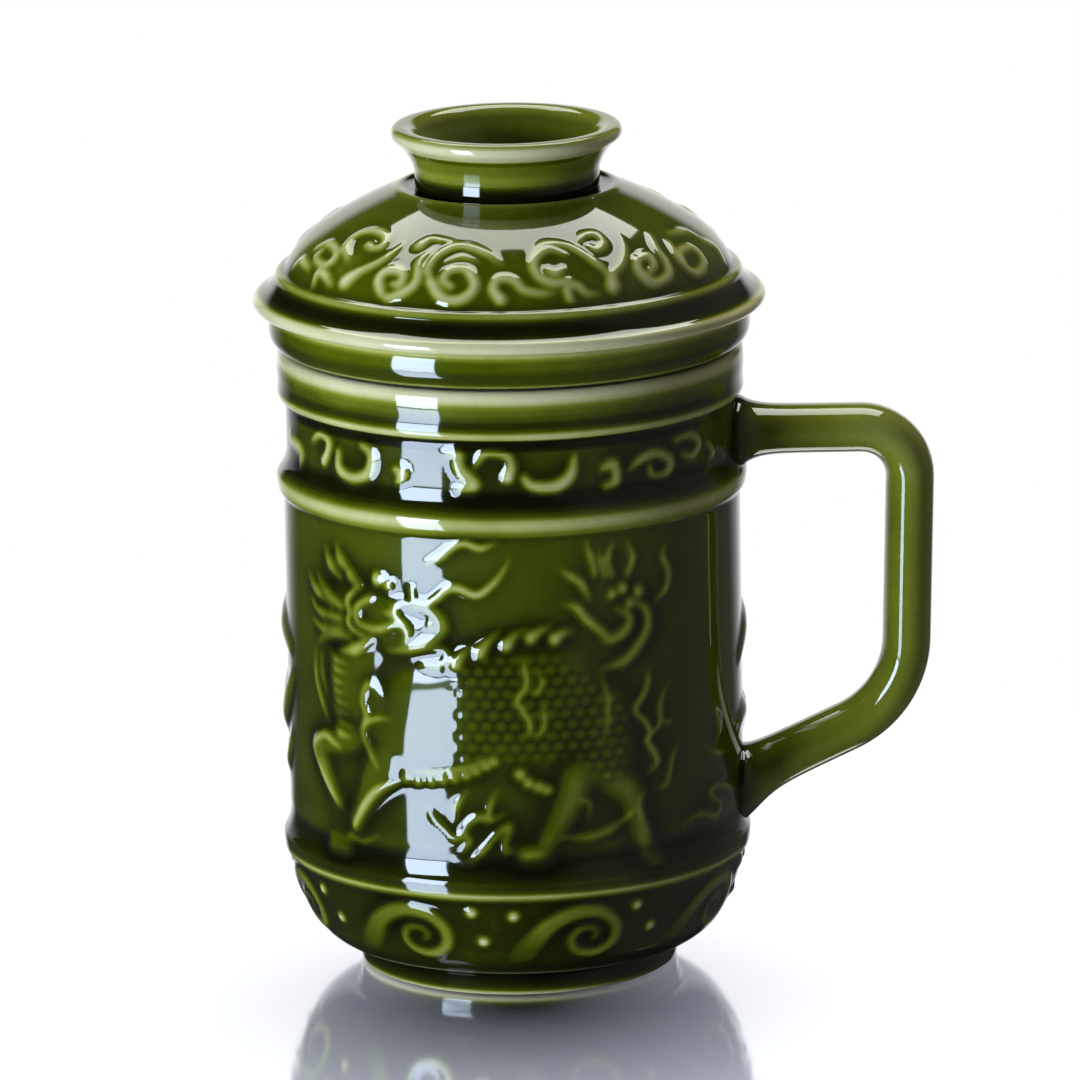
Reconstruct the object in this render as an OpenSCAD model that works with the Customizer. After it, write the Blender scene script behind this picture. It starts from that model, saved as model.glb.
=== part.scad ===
// Lidded tea mug with infuser, in glazed porcelain.
// The mug's axis is Z, the foot stands on Z = 0 and the handle points along +X. Millimetres.

/* [Mug body] */
// Height of the lip's flat top above the table
mug_h = 109.2; // [100:0.1:125]
// Outside radius of the plain wall
body_r = 39.4; // [36:0.1:42]
// Thickness of the wall
wall_t = 3; // [2.6:0.1:3.6]
// Thickness of the floor
floor_t = 4; // [3:0.1:5]
// How far the lip band stands proud of the wall
lip_out = 0.9; // [0.6:0.1:1.4]
// Height of the lip band
lip_band_h = 8.2; // [7:0.1:9.4]
// How far the ornament band is set back from the wall
band_in = 0.6; // [0.3:0.1:0.9]
// Height of the ornament band, between the lip band and the upper ridge's hollow
band_h = 9; // [8:0.1:11]
// How far the two ridges stand proud of the wall
ridge_out = 1.2; // [0.8:0.1:1.6]
// Height of the hollow above the upper ridge
upper_cove_h = 4.8; // [3.6:0.1:6]
// Height of the hollow above the lower ridge
lower_cove_h = 6; // [4:0.1:7]
// Height of the lower ridge's crest above the table
low_ridge_z = 23.3; // [21:0.1:26]

/* [Foot] */
// Outside radius of the foot ring where it stands
foot_r = 27.5; // [25:0.1:29]
// Width of the foot ring
foot_w = 3.2; // [2.6:0.1:4]
// Height of the foot ring's outer face
foot_h = 3.8; // [3:0.1:4.2]
// Depth of the recess inside the foot ring
recess_h = 2.2; // [1.6:0.1:2.6]

/* [Handle] */
// Distance of the upper arm's centre line below the lip
handle_drop = 16; // [14:0.1:20]
// Distance from the mug's axis to the grip's centre line, at the upper arm
handle_reach = 69; // [62:0.1:74]
// Height at which the lower arm's centre line meets the wall
handle_low_z = 31.4; // [30:0.1:33]
// Thickness of the handle in its own plane
handle_t = 8.4; // [7:0.1:9.5]
// Width of the handle across its plane
handle_w = 12; // [10:0.1:14]
// Centre line radius of the upper bend
upper_bend_r = 8.5; // [7:0.1:10]
// Centre line radius of the lower bend
lower_bend_r = 18; // [14:0.1:20]
// Slope of the lower arm, in degrees
lower_arm_slope = 25; // [22:0.5:30]
// Lean of the grip from upright, in degrees
grip_lean = 1.5; // [0:0.5:4]

/* [Infuser] */
// Height of the collar that stands on the lip
collar_h = 7.2; // [6:0.1:8.4]
// How far the collar stands proud of the lip
collar_out = 1.1; // [0.8:0.1:1.6]
// Thickness of the collar's upright wall
collar_wall = 3.1; // [2.6:0.1:3.4]
// Thickness of the collar's floor
collar_floor = 2.4; // [2:0.1:2.8]
// Clearance between the basket and the mug's bore, on the radius
basket_gap = 0.8; // [0.5:0.1:1.4]
// Thickness of the basket's wall
basket_wall = 2.6; // [2.2:0.1:3]
// Depth of the basket below the lip
basket_depth = 66; // [56:0.5:74]
// How much the basket narrows from top to bottom, on the radius
basket_taper = 4.6; // [3:0.1:6]
// Outside radius of the basket's bottom corner
basket_corner_r = 6; // [5:0.1:8]
// Thickness of the perforated floor disc
strainer_t = 2.8; // [2.4:0.1:3.4]
// Diameter of the drain holes
hole_d = 2.6; // [2:0.1:3]
// Distance between the rings of holes in the floor disc
hole_pitch = 6; // [5:0.1:8]
// Number of holes around the basket's wall, in each row
wall_holes = 16; // [12:1:20]
// Number of rows of holes in the basket's wall
wall_rows = 3; // [2:1:4]
// Distance between the rows of wall holes
wall_row_pitch = 8; // [7:0.5:10]

/* [Lid] */
// How far the lid's rim stands proud of the collar
rim_out = 2.75; // [2:0.05:3.4]
// Height of the lid's shoulder above its seat
dome_h = 20.8; // [18:0.1:24]
// Radius of the shoulder around the knob
shoulder_r = 19; // [18:0.1:20]
// Distance that the dome's lower ring is set in from the rim's edge
lid_step_in = 4.2; // [3.6:0.1:5]
// Radius of the dome's upper curve, seen from the side
dome_curve_r = 70; // [40:1:100]
// Thickness of the lid's wall
lid_wall = 3.4; // [3:0.1:4]
// Clearance between the locating ring and the collar's bore, on the radius
ring_gap = 1.2; // [0.8:0.1:1.6]
// Clearance between the locating ring and the collar's floor
ring_floor_gap = 0.6; // [0.4:0.1:1]
// Thickness of the locating ring
ring_wall = 2.6; // [2.2:0.1:3]

/* [Knob] */
// Height of the knob above the lid's top
knob_h = 10.9; // [9:0.1:14]
// Radius of the knob's neck
neck_r = 15.9; // [15:0.1:16.4]
// Radius of the knob's flared rim
knob_r = 19.85; // [19:0.05:22]
// Thickness of the knob's wall at its base
knob_wall = 3; // [2.5:0.1:3.5]

/* [Hidden] */
$fn = 96;

glaze = "#3d5412";      // thick green glaze
pale_glaze = "#d9dfc8"; // thin glaze over white porcelain

// Radii and heights that follow from the sizes above
bore_r = body_r - wall_t;
lip_r = body_r + lip_out;
band_r = body_r - band_in;
ridge_r = body_r + ridge_out;
lip_low_z = mug_h - lip_band_h;
upper_ridge_z = lip_low_z - band_h - upper_cove_h;
ridge_face_h = 1.7;   // from a ridge's crest down to its lower edge
ridge_under_h = 3.4;  // from a ridge's crest down to where it meets the wall
lip_round = 0.9;      // rounding of the lip's two edges
floor_z = recess_h + floor_t;
inner_corner_r = 14;  // the bore's bottom corner
foot_draft = 0.5;     // how far the foot ring widens towards its top
foot_round = 0.6;     // rounding where the foot ring stands
bowl_knee = [body_r - 3.7, foot_h + 5];  // where the bowl turns upright

seat_z = mug_h + collar_h;
collar_r = lip_r + collar_out;
collar_bore_r = collar_r - collar_wall;
gallery_z = mug_h + collar_floor;
basket_r = bore_r - basket_gap;
basket_low_r = basket_r - basket_taper;
basket_z = mug_h - basket_depth;
first_row_h = 12;     // lowest wall holes above the basket's underside
strainer_r = basket_low_r - basket_corner_r - 1.6;
hole_rings = floor((strainer_r - hole_d) / hole_pitch);

rim_r = collar_r + rim_out;
rim_h = 1.1;          // height of the rim's widest circle above the seat
step_h = 5.1;         // height of the rim's hollow, seat to ring
shoulder_z = seat_z + dome_h;
lid_top_z = shoulder_z - 0.6;
dome_edge_r = 16;     // radius of the dome's lower curve
dome_knee = [rim_r - 10.8, seat_z + 0.62 * dome_h];  // where the two curves meet
dome_knee_slope = 34; // slope of the dome there
ring_r = collar_bore_r - ring_gap;
ring_lute_h = 3.9;    // height over which the locating ring is joined to the lid
knob_top_z = lid_top_z + knob_h;
knob_lip_w = 1.3;     // flat top of the knob's rim
knob_flare_h = 7.6;   // height of the flared part of the knob

// Points on a round stretch of radius r that runs from a to b, without a itself.
// A positive r turns anticlockwise, a negative one clockwise.
function arc(a, b, r, n = 8) =
    let (d = b - a,
         chord = norm(d),
         size = max(abs(r), chord * 0.5001),
         turn = sign(r),
         lift = sqrt(size * size - chord * chord / 4),
         centre = (a + b) / 2 + turn * lift * [-d.y, d.x] / chord,
         start = atan2(a.y - centre.y, a.x - centre.x),
         sweep = turn * 2 * asin(chord / 2 / size))
    [for (i = [1:n]) centre + size * [cos(start + sweep * i / n), sin(start + sweep * i / n)]];

// One ridge of the mug, from its under edge on a wall of radius low_r up to the wall of
// radius high_r above its hollow of height cove_h
function ridge(crest_z, low_r, high_r, cove_h) = concat(
    [[low_r, crest_z - ridge_under_h]],
    arc([low_r, crest_z - ridge_under_h], [ridge_r - 0.1, crest_z - ridge_face_h], 1.8, 4),
    arc([ridge_r - 0.1, crest_z - ridge_face_h], [ridge_r, crest_z], 14, 3),
    arc([ridge_r, crest_z], [high_r, crest_z + cove_h], -1.6 * cove_h, 6));

// Outside of the mug, from the table to the lip
function mug_outside() =
    let (foot_top = [foot_r + foot_draft, foot_h],
         bowl_low = [foot_r + foot_draft + 1.2, foot_h + 0.4],
         bowl_high = [body_r + 0.2, low_ridge_z - ridge_under_h],
         lip_under = [band_r, lip_low_z - 0.5],
         lip_edge = [lip_r - 0.1, lip_low_z + 1],
         lip_hollow = [lip_r - 0.2, lip_low_z + 3.2],
         lip_side = [lip_r - 0.15, mug_h - 1.6])
    concat(
        [[foot_r - foot_round, 0]],
        arc([foot_r - foot_round, 0], [foot_r, foot_round], foot_round, 4),
        [foot_top],
        arc(foot_top, bowl_low, -0.9, 4),
        arc(bowl_low, bowl_knee, 10, 6),
        arc(bowl_knee, bowl_high, 35, 6),
        ridge(low_ridge_z, body_r + 0.3, body_r, lower_cove_h),
        ridge(upper_ridge_z, body_r, band_r, upper_cove_h),
        [lip_under],
        arc(lip_under, lip_edge, 1.3, 5),
        arc(lip_edge, lip_hollow, -12, 3),
        arc(lip_hollow, lip_side, 16, 5),
        arc(lip_side, [lip_r - lip_round, mug_h], 1.7, 4));

// Inside of the mug, from the lip down to the middle of the floor
function mug_inside() = concat(
    [[bore_r + lip_round, mug_h]],
    arc([bore_r + lip_round, mug_h], [bore_r, mug_h - lip_round], lip_round, 4),
    [[bore_r, floor_z + inner_corner_r]],
    arc([bore_r, floor_z + inner_corner_r], [bore_r - inner_corner_r, floor_z], -inner_corner_r, 8),
    [[0, floor_z]]);

module mug_body() {
    color(glaze)
        rotate_extrude()
            polygon(concat(
                [[0, recess_h], [foot_r - foot_w, recess_h], [foot_r - foot_w, 0]],
                mug_outside(),
                mug_inside()));
}

// The mug as a solid without its hollow: the handle's ends stop at it
module mug_envelope() {
    rotate_extrude()
        polygon(concat([[0, 0]], mug_outside(), [[0, mug_h]]));
}

// Rounds the corner b of the path a, b, c with radius r, in n steps
function bend(a, b, c, r, n) =
    let (u = (a - b) / norm(a - b),
         v = (c - b) / norm(c - b),
         turn = cross(-u, v) > 0 ? 1 : -1,
         cut = r / tan(acos(u * v) / 2))
    concat([b + u * cut], arc(b + u * cut, b + v * cut, turn * r, n));

// Points on the line from a towards b, at the given distances from a
function along(a, b, steps) = [for (s = steps) a + (b - a) / norm(b - a) * s];

// The handle's centre line in the XZ plane, from the upper root to the lower one.
// Both ends start inside the wall.
root_depth = 4;
root_steps = [0, for (s = [0, 0.8, 1.7, 2.8, 4.2, 6, 8.4]) root_depth + s];
root_x = body_r - root_depth;
lower_arm = [cos(lower_arm_slope), sin(lower_arm_slope)];
grip = [-sin(grip_lean), -cos(grip_lean)];
upper_root = [root_x, mug_h - handle_drop];
upper_corner = [handle_reach, mug_h - handle_drop];
lower_root = [root_x, handle_low_z - root_depth * tan(lower_arm_slope)];
lower_corner = lower_root
    + lower_arm * cross(upper_corner - lower_root, grip) / cross(lower_arm, grip);
lower_steps = along(lower_root, lower_corner, root_steps);
handle_path = concat(
    along(upper_root, upper_corner, root_steps),
    bend(upper_root, upper_corner, lower_corner, upper_bend_r, 9),
    bend(upper_corner, lower_corner, lower_root, lower_bend_r, 10),
    [for (i = [len(lower_steps) - 1:-1:0]) lower_steps[i]]);

// How far the handle spreads where it is joined to the wall: the side away from the grip's
// middle, the side towards it and the two flanks
upper_spread = [1.8, 2.6];
lower_spread = [3.9, 1.5];
flank_spread = 2.4;
spread_fade = 2.2;    // the spread fades out over this distance from the wall
section_sides = 28;

// One ring of the handle's skin, around point i of its path
function handle_ring(i) =
    let (last = len(handle_path) - 1,
         p = handle_path[i],
         ahead = handle_path[min(i + 1, last)] - handle_path[max(i - 1, 0)],
         upper = i < last / 2,
         spread = upper ? upper_spread : lower_spread,
         near = exp(-max(0, p.x - body_r) / spread_fade),
         across = [-ahead.y, ahead.x] / norm(ahead) * (1 - near) + [0, upper ? near : -near],
         out = across / norm(across))
    [for (k = [0:section_sides - 1])
        let (a = 360 * k / section_sides,
             reach = (handle_t / 2 + near * (a < 180 ? spread[0] : spread[1])) * sin(a),
             flank = (handle_w / 2 + near * flank_spread) * cos(a))
        [p.x + out.x * reach, flank, p.y + out.y * reach]];

// The handle, with both ends running on into the wall
module handle_sweep() {
    n = section_sides;
    last = len(handle_path) - 1;
    sides = [for (i = [0:last - 1], k = [0:n - 1])
        [i * n + k, i * n + (k + 1) % n, (i + 1) * n + (k + 1) % n, (i + 1) * n + k]];
    ends = [[for (k = [n - 1:-1:0]) k], [for (k = [0:n - 1]) last * n + k]];
    polyhedron([for (i = [0:last]) each handle_ring(i)], concat(sides, ends), convexity = 4);
}

module mug_handle() {
    color(glaze)
        difference() {
            handle_sweep();
            mug_envelope();
        }
}

module infuser_collar() {
    under_edge = [lip_r - lip_round, mug_h];
    belly_low = [lip_r - 0.3, mug_h + 0.5];
    belly_side = [collar_r, mug_h + 0.42 * collar_h];
    belly_high = [collar_r - 0.35, seat_z - 1.1];
    color(glaze)
        rotate_extrude()
            polygon(concat(
                [[basket_r - basket_wall, mug_h], under_edge],
                arc(under_edge, belly_low, 1, 3),
                arc(belly_low, belly_side, 3.4, 5),
                arc(belly_side, belly_high, 8.5, 4),
                arc(belly_high, [collar_r - 1.4, seat_z], 1.2, 4),
                [[collar_bore_r + 0.5, seat_z]],
                arc([collar_bore_r + 0.5, seat_z], [collar_bore_r, seat_z - 0.5], 0.5, 3),
                [[collar_bore_r, gallery_z + 0.5]],
                arc([collar_bore_r, gallery_z + 0.5], [collar_bore_r - 0.5, gallery_z], -0.5, 3),
                [[basket_r - basket_wall + 0.8, gallery_z]],
                arc([basket_r - basket_wall + 0.8, gallery_z],
                    [basket_r - basket_wall, gallery_z - 0.8], 0.8, 3)));
}

// A ring of round holes through the basket's wall
module wall_hole_row(z, turn) {
    for (i = [0:wall_holes - 1])
        rotate([0, 0, (i + turn) * 360 / wall_holes])
            translate([basket_low_r - basket_corner_r, 0, z])
                rotate([0, 90, 0])
                    cylinder(d = hole_d, h = basket_taper + basket_corner_r + 4, $fn = 24);
}

module infuser_basket() {
    low = [basket_low_r, basket_z + basket_corner_r];
    inner_r = basket_corner_r - basket_wall;
    color(pale_glaze)
        difference() {
            rotate_extrude()
                polygon(concat(
                    [[basket_r - basket_wall, mug_h],
                     [basket_low_r - basket_wall, basket_z + basket_corner_r]],
                    arc([basket_low_r - basket_wall, basket_z + basket_corner_r],
                        [basket_low_r - basket_corner_r, basket_z + strainer_t], -inner_r - 0.4, 5),
                    [[strainer_r, basket_z + strainer_t], [strainer_r, basket_z],
                     [basket_low_r - basket_corner_r, basket_z]],
                    arc([basket_low_r - basket_corner_r, basket_z], low, basket_corner_r, 6),
                    [[basket_r, mug_h]]));
            for (row = [0:wall_rows - 1])
                wall_hole_row(basket_z + first_row_h + row * wall_row_pitch, row % 2 / 2);
        }
}

module infuser_strainer() {
    color(pale_glaze)
        translate([0, 0, basket_z])
            difference() {
                cylinder(r = strainer_r, h = strainer_t);
                for (ring = [0:hole_rings])
                    for (i = [0:max(0, 6 * ring - 1)])
                        rotate([0, 0, i * 60 / max(1, ring)])
                            translate([ring * hole_pitch, 0, -1])
                                cylinder(d = hole_d, h = strainer_t + 2, $fn = 24);
            }
}

// Outside of the lid, from its seat up to the flat top under the knob
function lid_outside() =
    let (seat_edge = [rim_r - 0.9, seat_z],
         rim_edge = [rim_r, seat_z + rim_h],
         rim_top = [rim_r - 1.1, seat_z + rim_h + 1.1],
         hollow_top = [rim_r - lid_step_in + 0.2, seat_z + step_h],
         ring_top = [rim_r - lid_step_in - 0.5, seat_z + step_h + 1.3],
         dome_low = [rim_r - lid_step_in - 1.6, seat_z + step_h + 1.8],
         shoulder = [shoulder_r + 0.5, shoulder_z - 0.4])
    concat(
        [seat_edge],
        arc(seat_edge, rim_edge, 1.5, 4),
        arc(rim_edge, rim_top, 1.3, 4),
        arc(rim_top, hollow_top, -6, 6),
        arc(hollow_top, ring_top, 1.2, 4),
        arc(ring_top, dome_low, -2, 3),
        arc(dome_low, dome_knee, dome_edge_r, 8),
        arc(dome_knee, shoulder, dome_curve_r, 10),
        arc(shoulder, [shoulder_r - 0.6, shoulder_z], 1.2, 3),
        arc([shoulder_r - 0.6, shoulder_z], [neck_r + 0.9, lid_top_z], -3, 4));

module lid_dome() {
    inner_top = [shoulder_r - 0.4, shoulder_z - lid_wall];
    inner_knee = dome_knee - lid_wall * [sin(dome_knee_slope), cos(dome_knee_slope)];
    inner_low = [ring_r, seat_z + ring_lute_h];
    color(glaze)
        rotate_extrude()
            polygon(concat(
                lid_outside(),
                [[0, lid_top_z], [0, shoulder_z - lid_wall], inner_top],
                arc(inner_top, inner_knee, lid_wall - dome_curve_r, 8),
                arc(inner_knee, inner_low, lid_wall - dome_edge_r, 8),
                [[ring_r, seat_z]]));
}

module lid_locating_ring() {
    ring_low_z = gallery_z + ring_floor_gap;
    inner_r = ring_r - ring_wall;
    color(pale_glaze)
        rotate_extrude()
            polygon(concat(
                [[inner_r + 0.8, ring_low_z], [ring_r - 0.8, ring_low_z]],
                arc([ring_r - 0.8, ring_low_z], [ring_r, ring_low_z + 0.8], 0.8, 3),
                [[ring_r, seat_z + ring_lute_h - 0.3], [inner_r + 0.6, seat_z + ring_lute_h - 0.3],
                 [inner_r, seat_z + ring_lute_h - 1.2], [inner_r, ring_low_z + 0.8]],
                arc([inner_r, ring_low_z + 0.8], [inner_r + 0.8, ring_low_z], 0.8, 3)));
}

module lid_knob() {
    foot_in = neck_r - knob_wall;
    flare_z = knob_top_z - knob_flare_h;
    rim_low = [knob_r - 0.4, knob_top_z - 2.2];
    rim_side = [knob_r, knob_top_z - 1.2];
    flat_out = [knob_r - 0.9, knob_top_z];
    flat_in = flat_out - [knob_lip_w, 0];
    inner_edge = [knob_r - 4.7, knob_top_z - 2.2];
    color(glaze)
        rotate_extrude()
            polygon(concat(
                [[foot_in, lid_top_z], [neck_r, lid_top_z], [neck_r, flare_z]],
                arc([neck_r, flare_z], rim_low, -9, 8),
                arc(rim_low, rim_side, 1.2, 3),
                arc(rim_side, flat_out, 1.3, 4),
                [flat_in],
                arc(flat_in, inner_edge, 3, 5),
                arc(inner_edge, [foot_in, flare_z - 0.6], 12, 6)));
}

mug_body();
mug_handle();
infuser_collar();
infuser_basket();
infuser_strainer();
lid_dome();
lid_locating_ring();
lid_knob();
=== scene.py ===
import math

import bmesh
import bpy
import numpy as np
from mathutils import Matrix, Vector


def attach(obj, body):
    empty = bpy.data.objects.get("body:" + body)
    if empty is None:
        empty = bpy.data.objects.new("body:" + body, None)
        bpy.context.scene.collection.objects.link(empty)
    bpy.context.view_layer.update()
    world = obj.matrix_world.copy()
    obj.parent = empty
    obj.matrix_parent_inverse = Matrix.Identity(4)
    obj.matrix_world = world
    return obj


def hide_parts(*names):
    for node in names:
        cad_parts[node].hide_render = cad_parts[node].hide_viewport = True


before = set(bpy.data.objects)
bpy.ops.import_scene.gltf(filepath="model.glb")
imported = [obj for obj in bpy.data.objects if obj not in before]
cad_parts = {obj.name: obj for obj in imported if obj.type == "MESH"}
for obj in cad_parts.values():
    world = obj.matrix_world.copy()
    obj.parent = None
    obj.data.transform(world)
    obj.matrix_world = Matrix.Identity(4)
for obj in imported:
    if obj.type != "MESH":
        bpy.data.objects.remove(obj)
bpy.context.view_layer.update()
print("frame loaded,", len(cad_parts), "solids")

mm = 0.001


# colours and nodes

def linearColour(hexCode):
    # sRGB hex to the linear values that shaders take
    parts = [int(hexCode[i:i + 2], 16) / 255 for i in (1, 3, 5)]
    return [p / 12.92 if p <= 0.04045 else ((p + 0.055) / 1.055) ** 2.4 for p in parts] + [1.0]


def addNode(tree, kind, settings=None, links=None):
    # settings hold node attributes or input values, links hold input: output socket
    node = tree.nodes.new(kind)
    for key, value in (settings or {}).items():
        if isinstance(key, str) and hasattr(node, key):
            setattr(node, key, value)
        else:
            node.inputs[key].default_value = value
    for key, socket in (links or {}).items():
        tree.links.new(socket, node.inputs[key])
    return node


def newMaterial(name):
    material = bpy.data.materials.new(name)
    material.use_nodes = True
    material.node_tree.nodes.clear()
    return material, material.node_tree


def meshObject(name, bm):
    # turns a bmesh into an object of the scene
    mesh = bpy.data.meshes.new(name)
    bm.to_mesh(mesh)
    bm.free()
    made = bpy.data.objects.new(name, mesh)
    bpy.context.scene.collection.objects.link(made)
    return made


def setRamp(node, stops):
    # stops are (place, hex colour)
    elements = node.color_ramp.elements
    while len(elements) > 1:
        elements.remove(elements[-1])
    elements[0].position = stops[0][0]
    elements[0].color = linearColour(stops[0][1])
    for place, hexCode in stops[1:]:
        elements.new(place).color = linearColour(hexCode)


# outlines and spun skins; lengths are in millimetres until a mesh is filled

def tracePath(points, step=0.15):
    # each point is (r, z) or (r, z, radius of the round stretch leading there);
    # a positive radius turns left, a negative one right
    path = [Vector(points[0][:2])]
    for point in points[1:]:
        start, end = path[-1], Vector(point[:2])
        if len(point) == 2:
            path.append(end)
            continue
        chord = end - start
        size = max(abs(point[2]), chord.length * 0.5001)  # never under half the chord
        turn = math.copysign(1, point[2])
        lift = math.sqrt(size ** 2 - chord.length_squared / 4)
        centre = (start + end) / 2 + turn * lift * Vector((-chord.y, chord.x)) / chord.length
        first = math.atan2(start.y - centre.y, start.x - centre.x)
        sweep = turn * 2 * math.asin(chord.length / 2 / size)
        count = max(2, int(abs(sweep) * size / step))
        for i in range(1, count + 1):
            angle = first + sweep * i / count
            path.append(centre + size * Vector((math.cos(angle), math.sin(angle))))
    return np.array(path)


def spreadRows(path, stepAt, sampling=0.05):
    # resamples the path with the spacing that stepAt gives for each point's radius and height
    gaps = np.linalg.norm(np.diff(path, axis=0), axis=1)
    length = np.concatenate([[0], np.cumsum(gaps)])
    fine = np.linspace(0, length[-1], int(length[-1] / sampling) + 2)
    r, z = np.interp(fine, length, path[:, 0]), np.interp(fine, length, path[:, 1])
    rate = 1 / stepAt(r, z)
    count = np.concatenate([[0], np.cumsum((rate[1:] + rate[:-1]) / 2 * np.diff(fine))])
    rows = np.linspace(0, count[-1], max(3, round(count[-1]) + 1))
    return np.stack([np.interp(rows, count, r), np.interp(rows, count, z)], axis=1)


def evenRows(path, step):
    return spreadRows(path, lambda r, z: np.full_like(r, step))


def blur(grid, sigma, axis, wrap=False):
    # Gaussian blur along one axis, sigma in samples
    reach = max(1, int(sigma * 3))
    kernel = np.exp(-0.5 * (np.arange(-reach, reach + 1) / sigma) ** 2)
    kernel /= kernel.sum()
    pad = [(0, 0)] * grid.ndim
    pad[axis] = (reach, reach)
    padded = np.pad(grid, pad, mode="wrap" if wrap else "edge")
    return np.apply_along_axis(lambda line: np.convolve(line, kernel, mode="valid"), axis, padded)


def soften(relief, layer, sigma):
    for axis in (0, 1):
        relief[layer] = blur(relief[layer], sigma, axis)


def outlineNormals(outline, closed):
    if closed:
        along = np.roll(outline, -1, axis=0) - np.roll(outline, 1, axis=0)
    else:
        along = np.gradient(outline, axis=0)
    across = np.stack([along[:, 1], -along[:, 0]], axis=1)
    return across / np.maximum(np.linalg.norm(across, axis=1, keepdims=True), 1e-9)


poleR = 1e-4  # a row this close to the axis is a pole, mm


def spunMesh(name, outline, columns, closed=False):
    # spins the outline round the mug's axis; gives the object with each vertex's row and column
    bm = bmesh.new()
    rowLayer = bm.verts.layers.int.new("row")
    chain = []
    for row, (r, z) in enumerate(outline):
        chain.append(bm.verts.new((0, -r * mm, z * mm)))
        chain[-1][rowLayer] = row
    for a, b in zip(chain, chain[1:] + chain[:1] if closed else chain[1:]):
        bm.edges.new((a, b))
    bmesh.ops.spin(bm, geom=bm.verts[:] + bm.edges[:], axis=(0, 0, 1), cent=(0, 0, 0),
                   steps=columns, angle=2 * math.pi, use_merge=True)
    for row, (r, z) in enumerate(outline):
        if r < poleR:
            pole = [v for v in bm.verts if v[rowLayer] == row]
            bmesh.ops.pointmerge(bm, verts=pole, merge_co=(0, 0, z * mm))
    bmesh.ops.recalc_face_normals(bm, faces=bm.faces[:])
    for face in bm.faces:
        face.smooth = True
    rows = np.array([v[rowLayer] for v in bm.verts])
    angles = np.array([math.atan2(v.co.x, -v.co.y) for v in bm.verts])
    cols = np.round(angles / (2 * math.pi / columns)).astype(int) % columns
    return meshObject(name, bm), rows, cols


def columnAngles(columns, crowding):
    # angle of each column from the front, with more columns at the front than at the back
    even = np.arange(columns) * 2 * math.pi / columns
    even = np.where(even > math.pi, even - 2 * math.pi, even)
    return even - crowding * np.sin(even)


crestShare = 0.6  # a raised place loses glaze at this share of what a hollow gains


def shapeSkin(piece, rows, cols, outline, closed, angles, height, thin, settings):
    # moves the skin to its relief and stores how thick the glaze lies, 0 thin to 1 thick, with painted
    # shade from some bands added to it
    normals = outlineNormals(outline, closed)
    step = np.median(np.linalg.norm(np.diff(outline, axis=0), axis=1))
    width = 2 * math.pi * outline[:, 0].max() / len(angles)
    base, hollows, depthAndShadeBands = (settings[key] for key in ("base", "hollows", "depthAndShadeBands"))
    thick = np.full(height.shape, base)
    for size, gain, carvedGain in hollows:
        soft = np.stack([blur(outline[:, i], size / step, 0, closed) for i in (0, 1)], axis=1)
        around = ((soft - outline) * normals).sum(axis=1)
        sag = blur(blur(height, size / step, 0, closed), size / width, 1, True) - height
        thick += gain * around[:, None] + carvedGain * np.where(sag < 0, sag * crestShare, sag)
    thick -= thin
    # bands change the glaze's depth; some of them darken places where shade falls, which is painted shade
    for low, high, nearest, farthest, fade, amount in depthAndShadeBands:
        r, z = outline[:, 0], outline[:, 1]
        inside = np.clip((z - low) / fade + 0.5, 0, 1) * np.clip((high - z) / fade + 0.5, 0, 1)
        thick += (amount * inside * (r > nearest) * (r < farthest))[:, None]
    thick = np.clip(thick, 0, 1)
    r = outline[rows, 0] + normals[rows, 0] * height[rows, cols]
    z = outline[rows, 1] + normals[rows, 1] * height[rows, cols]
    theta = angles[cols]
    r = np.where(outline[rows, 0] < poleR, 0, r)
    points = np.stack([r * np.sin(theta), -r * np.cos(theta), z], axis=1) * mm
    piece.data.vertices.foreach_set("co", points.astype(np.float32).ravel())
    layer = piece.data.attributes.new("glaze", "FLOAT", "POINT")
    layer.data.foreach_set("value", thick[rows, cols].astype(np.float32))
    piece.data.update()


# relief: strokes raise a fine net of heights, which the skins then take up

def pathLengths(path):
    return np.concatenate([[0], np.cumsum(np.linalg.norm(np.diff(path, axis=0), axis=1))])


def newRelief(path, lowAngle, highAngle, lowRise, highRise, cell=0.25):
    # a flat net on a stretch of the spun surface; rise is the distance along the outline
    rises = np.arange(lowRise, highRise, cell)
    radii = np.interp(rises, pathLengths(path), path[:, 0])
    turn = cell / radii.mean()
    angles = np.arange(math.radians(lowAngle), math.radians(highAngle), turn)
    relief = {"rises": rises, "radii": radii, "angles": angles, "cell": cell, "turn": turn}
    for layer in ("mass", "line", "height", "thin"):
        relief[layer] = np.zeros((len(rises), len(angles)))
    return relief


def smoothLine(points, step=0.25):
    # a smooth curve through the points, as close samples
    p = np.array(points, float)
    if len(p) == 1:
        return p
    p = np.concatenate([[2 * p[0] - p[1]], p, [2 * p[-1] - p[-2]]])
    line = []
    for a, b, c, d in zip(p, p[1:], p[2:], p[3:]):
        count = max(2, math.ceil(np.linalg.norm(c - b) / step))
        t = np.arange(count)[:, None] / count
        line.append(b + t * (c - a) / 2 + t ** 2 * (2 * a - 5 * b + 4 * c - d) / 2
                    + t ** 3 * (3 * b - a - 3 * c + d) / 2)
    return np.concatenate(line + [p[-2][None]])


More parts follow.
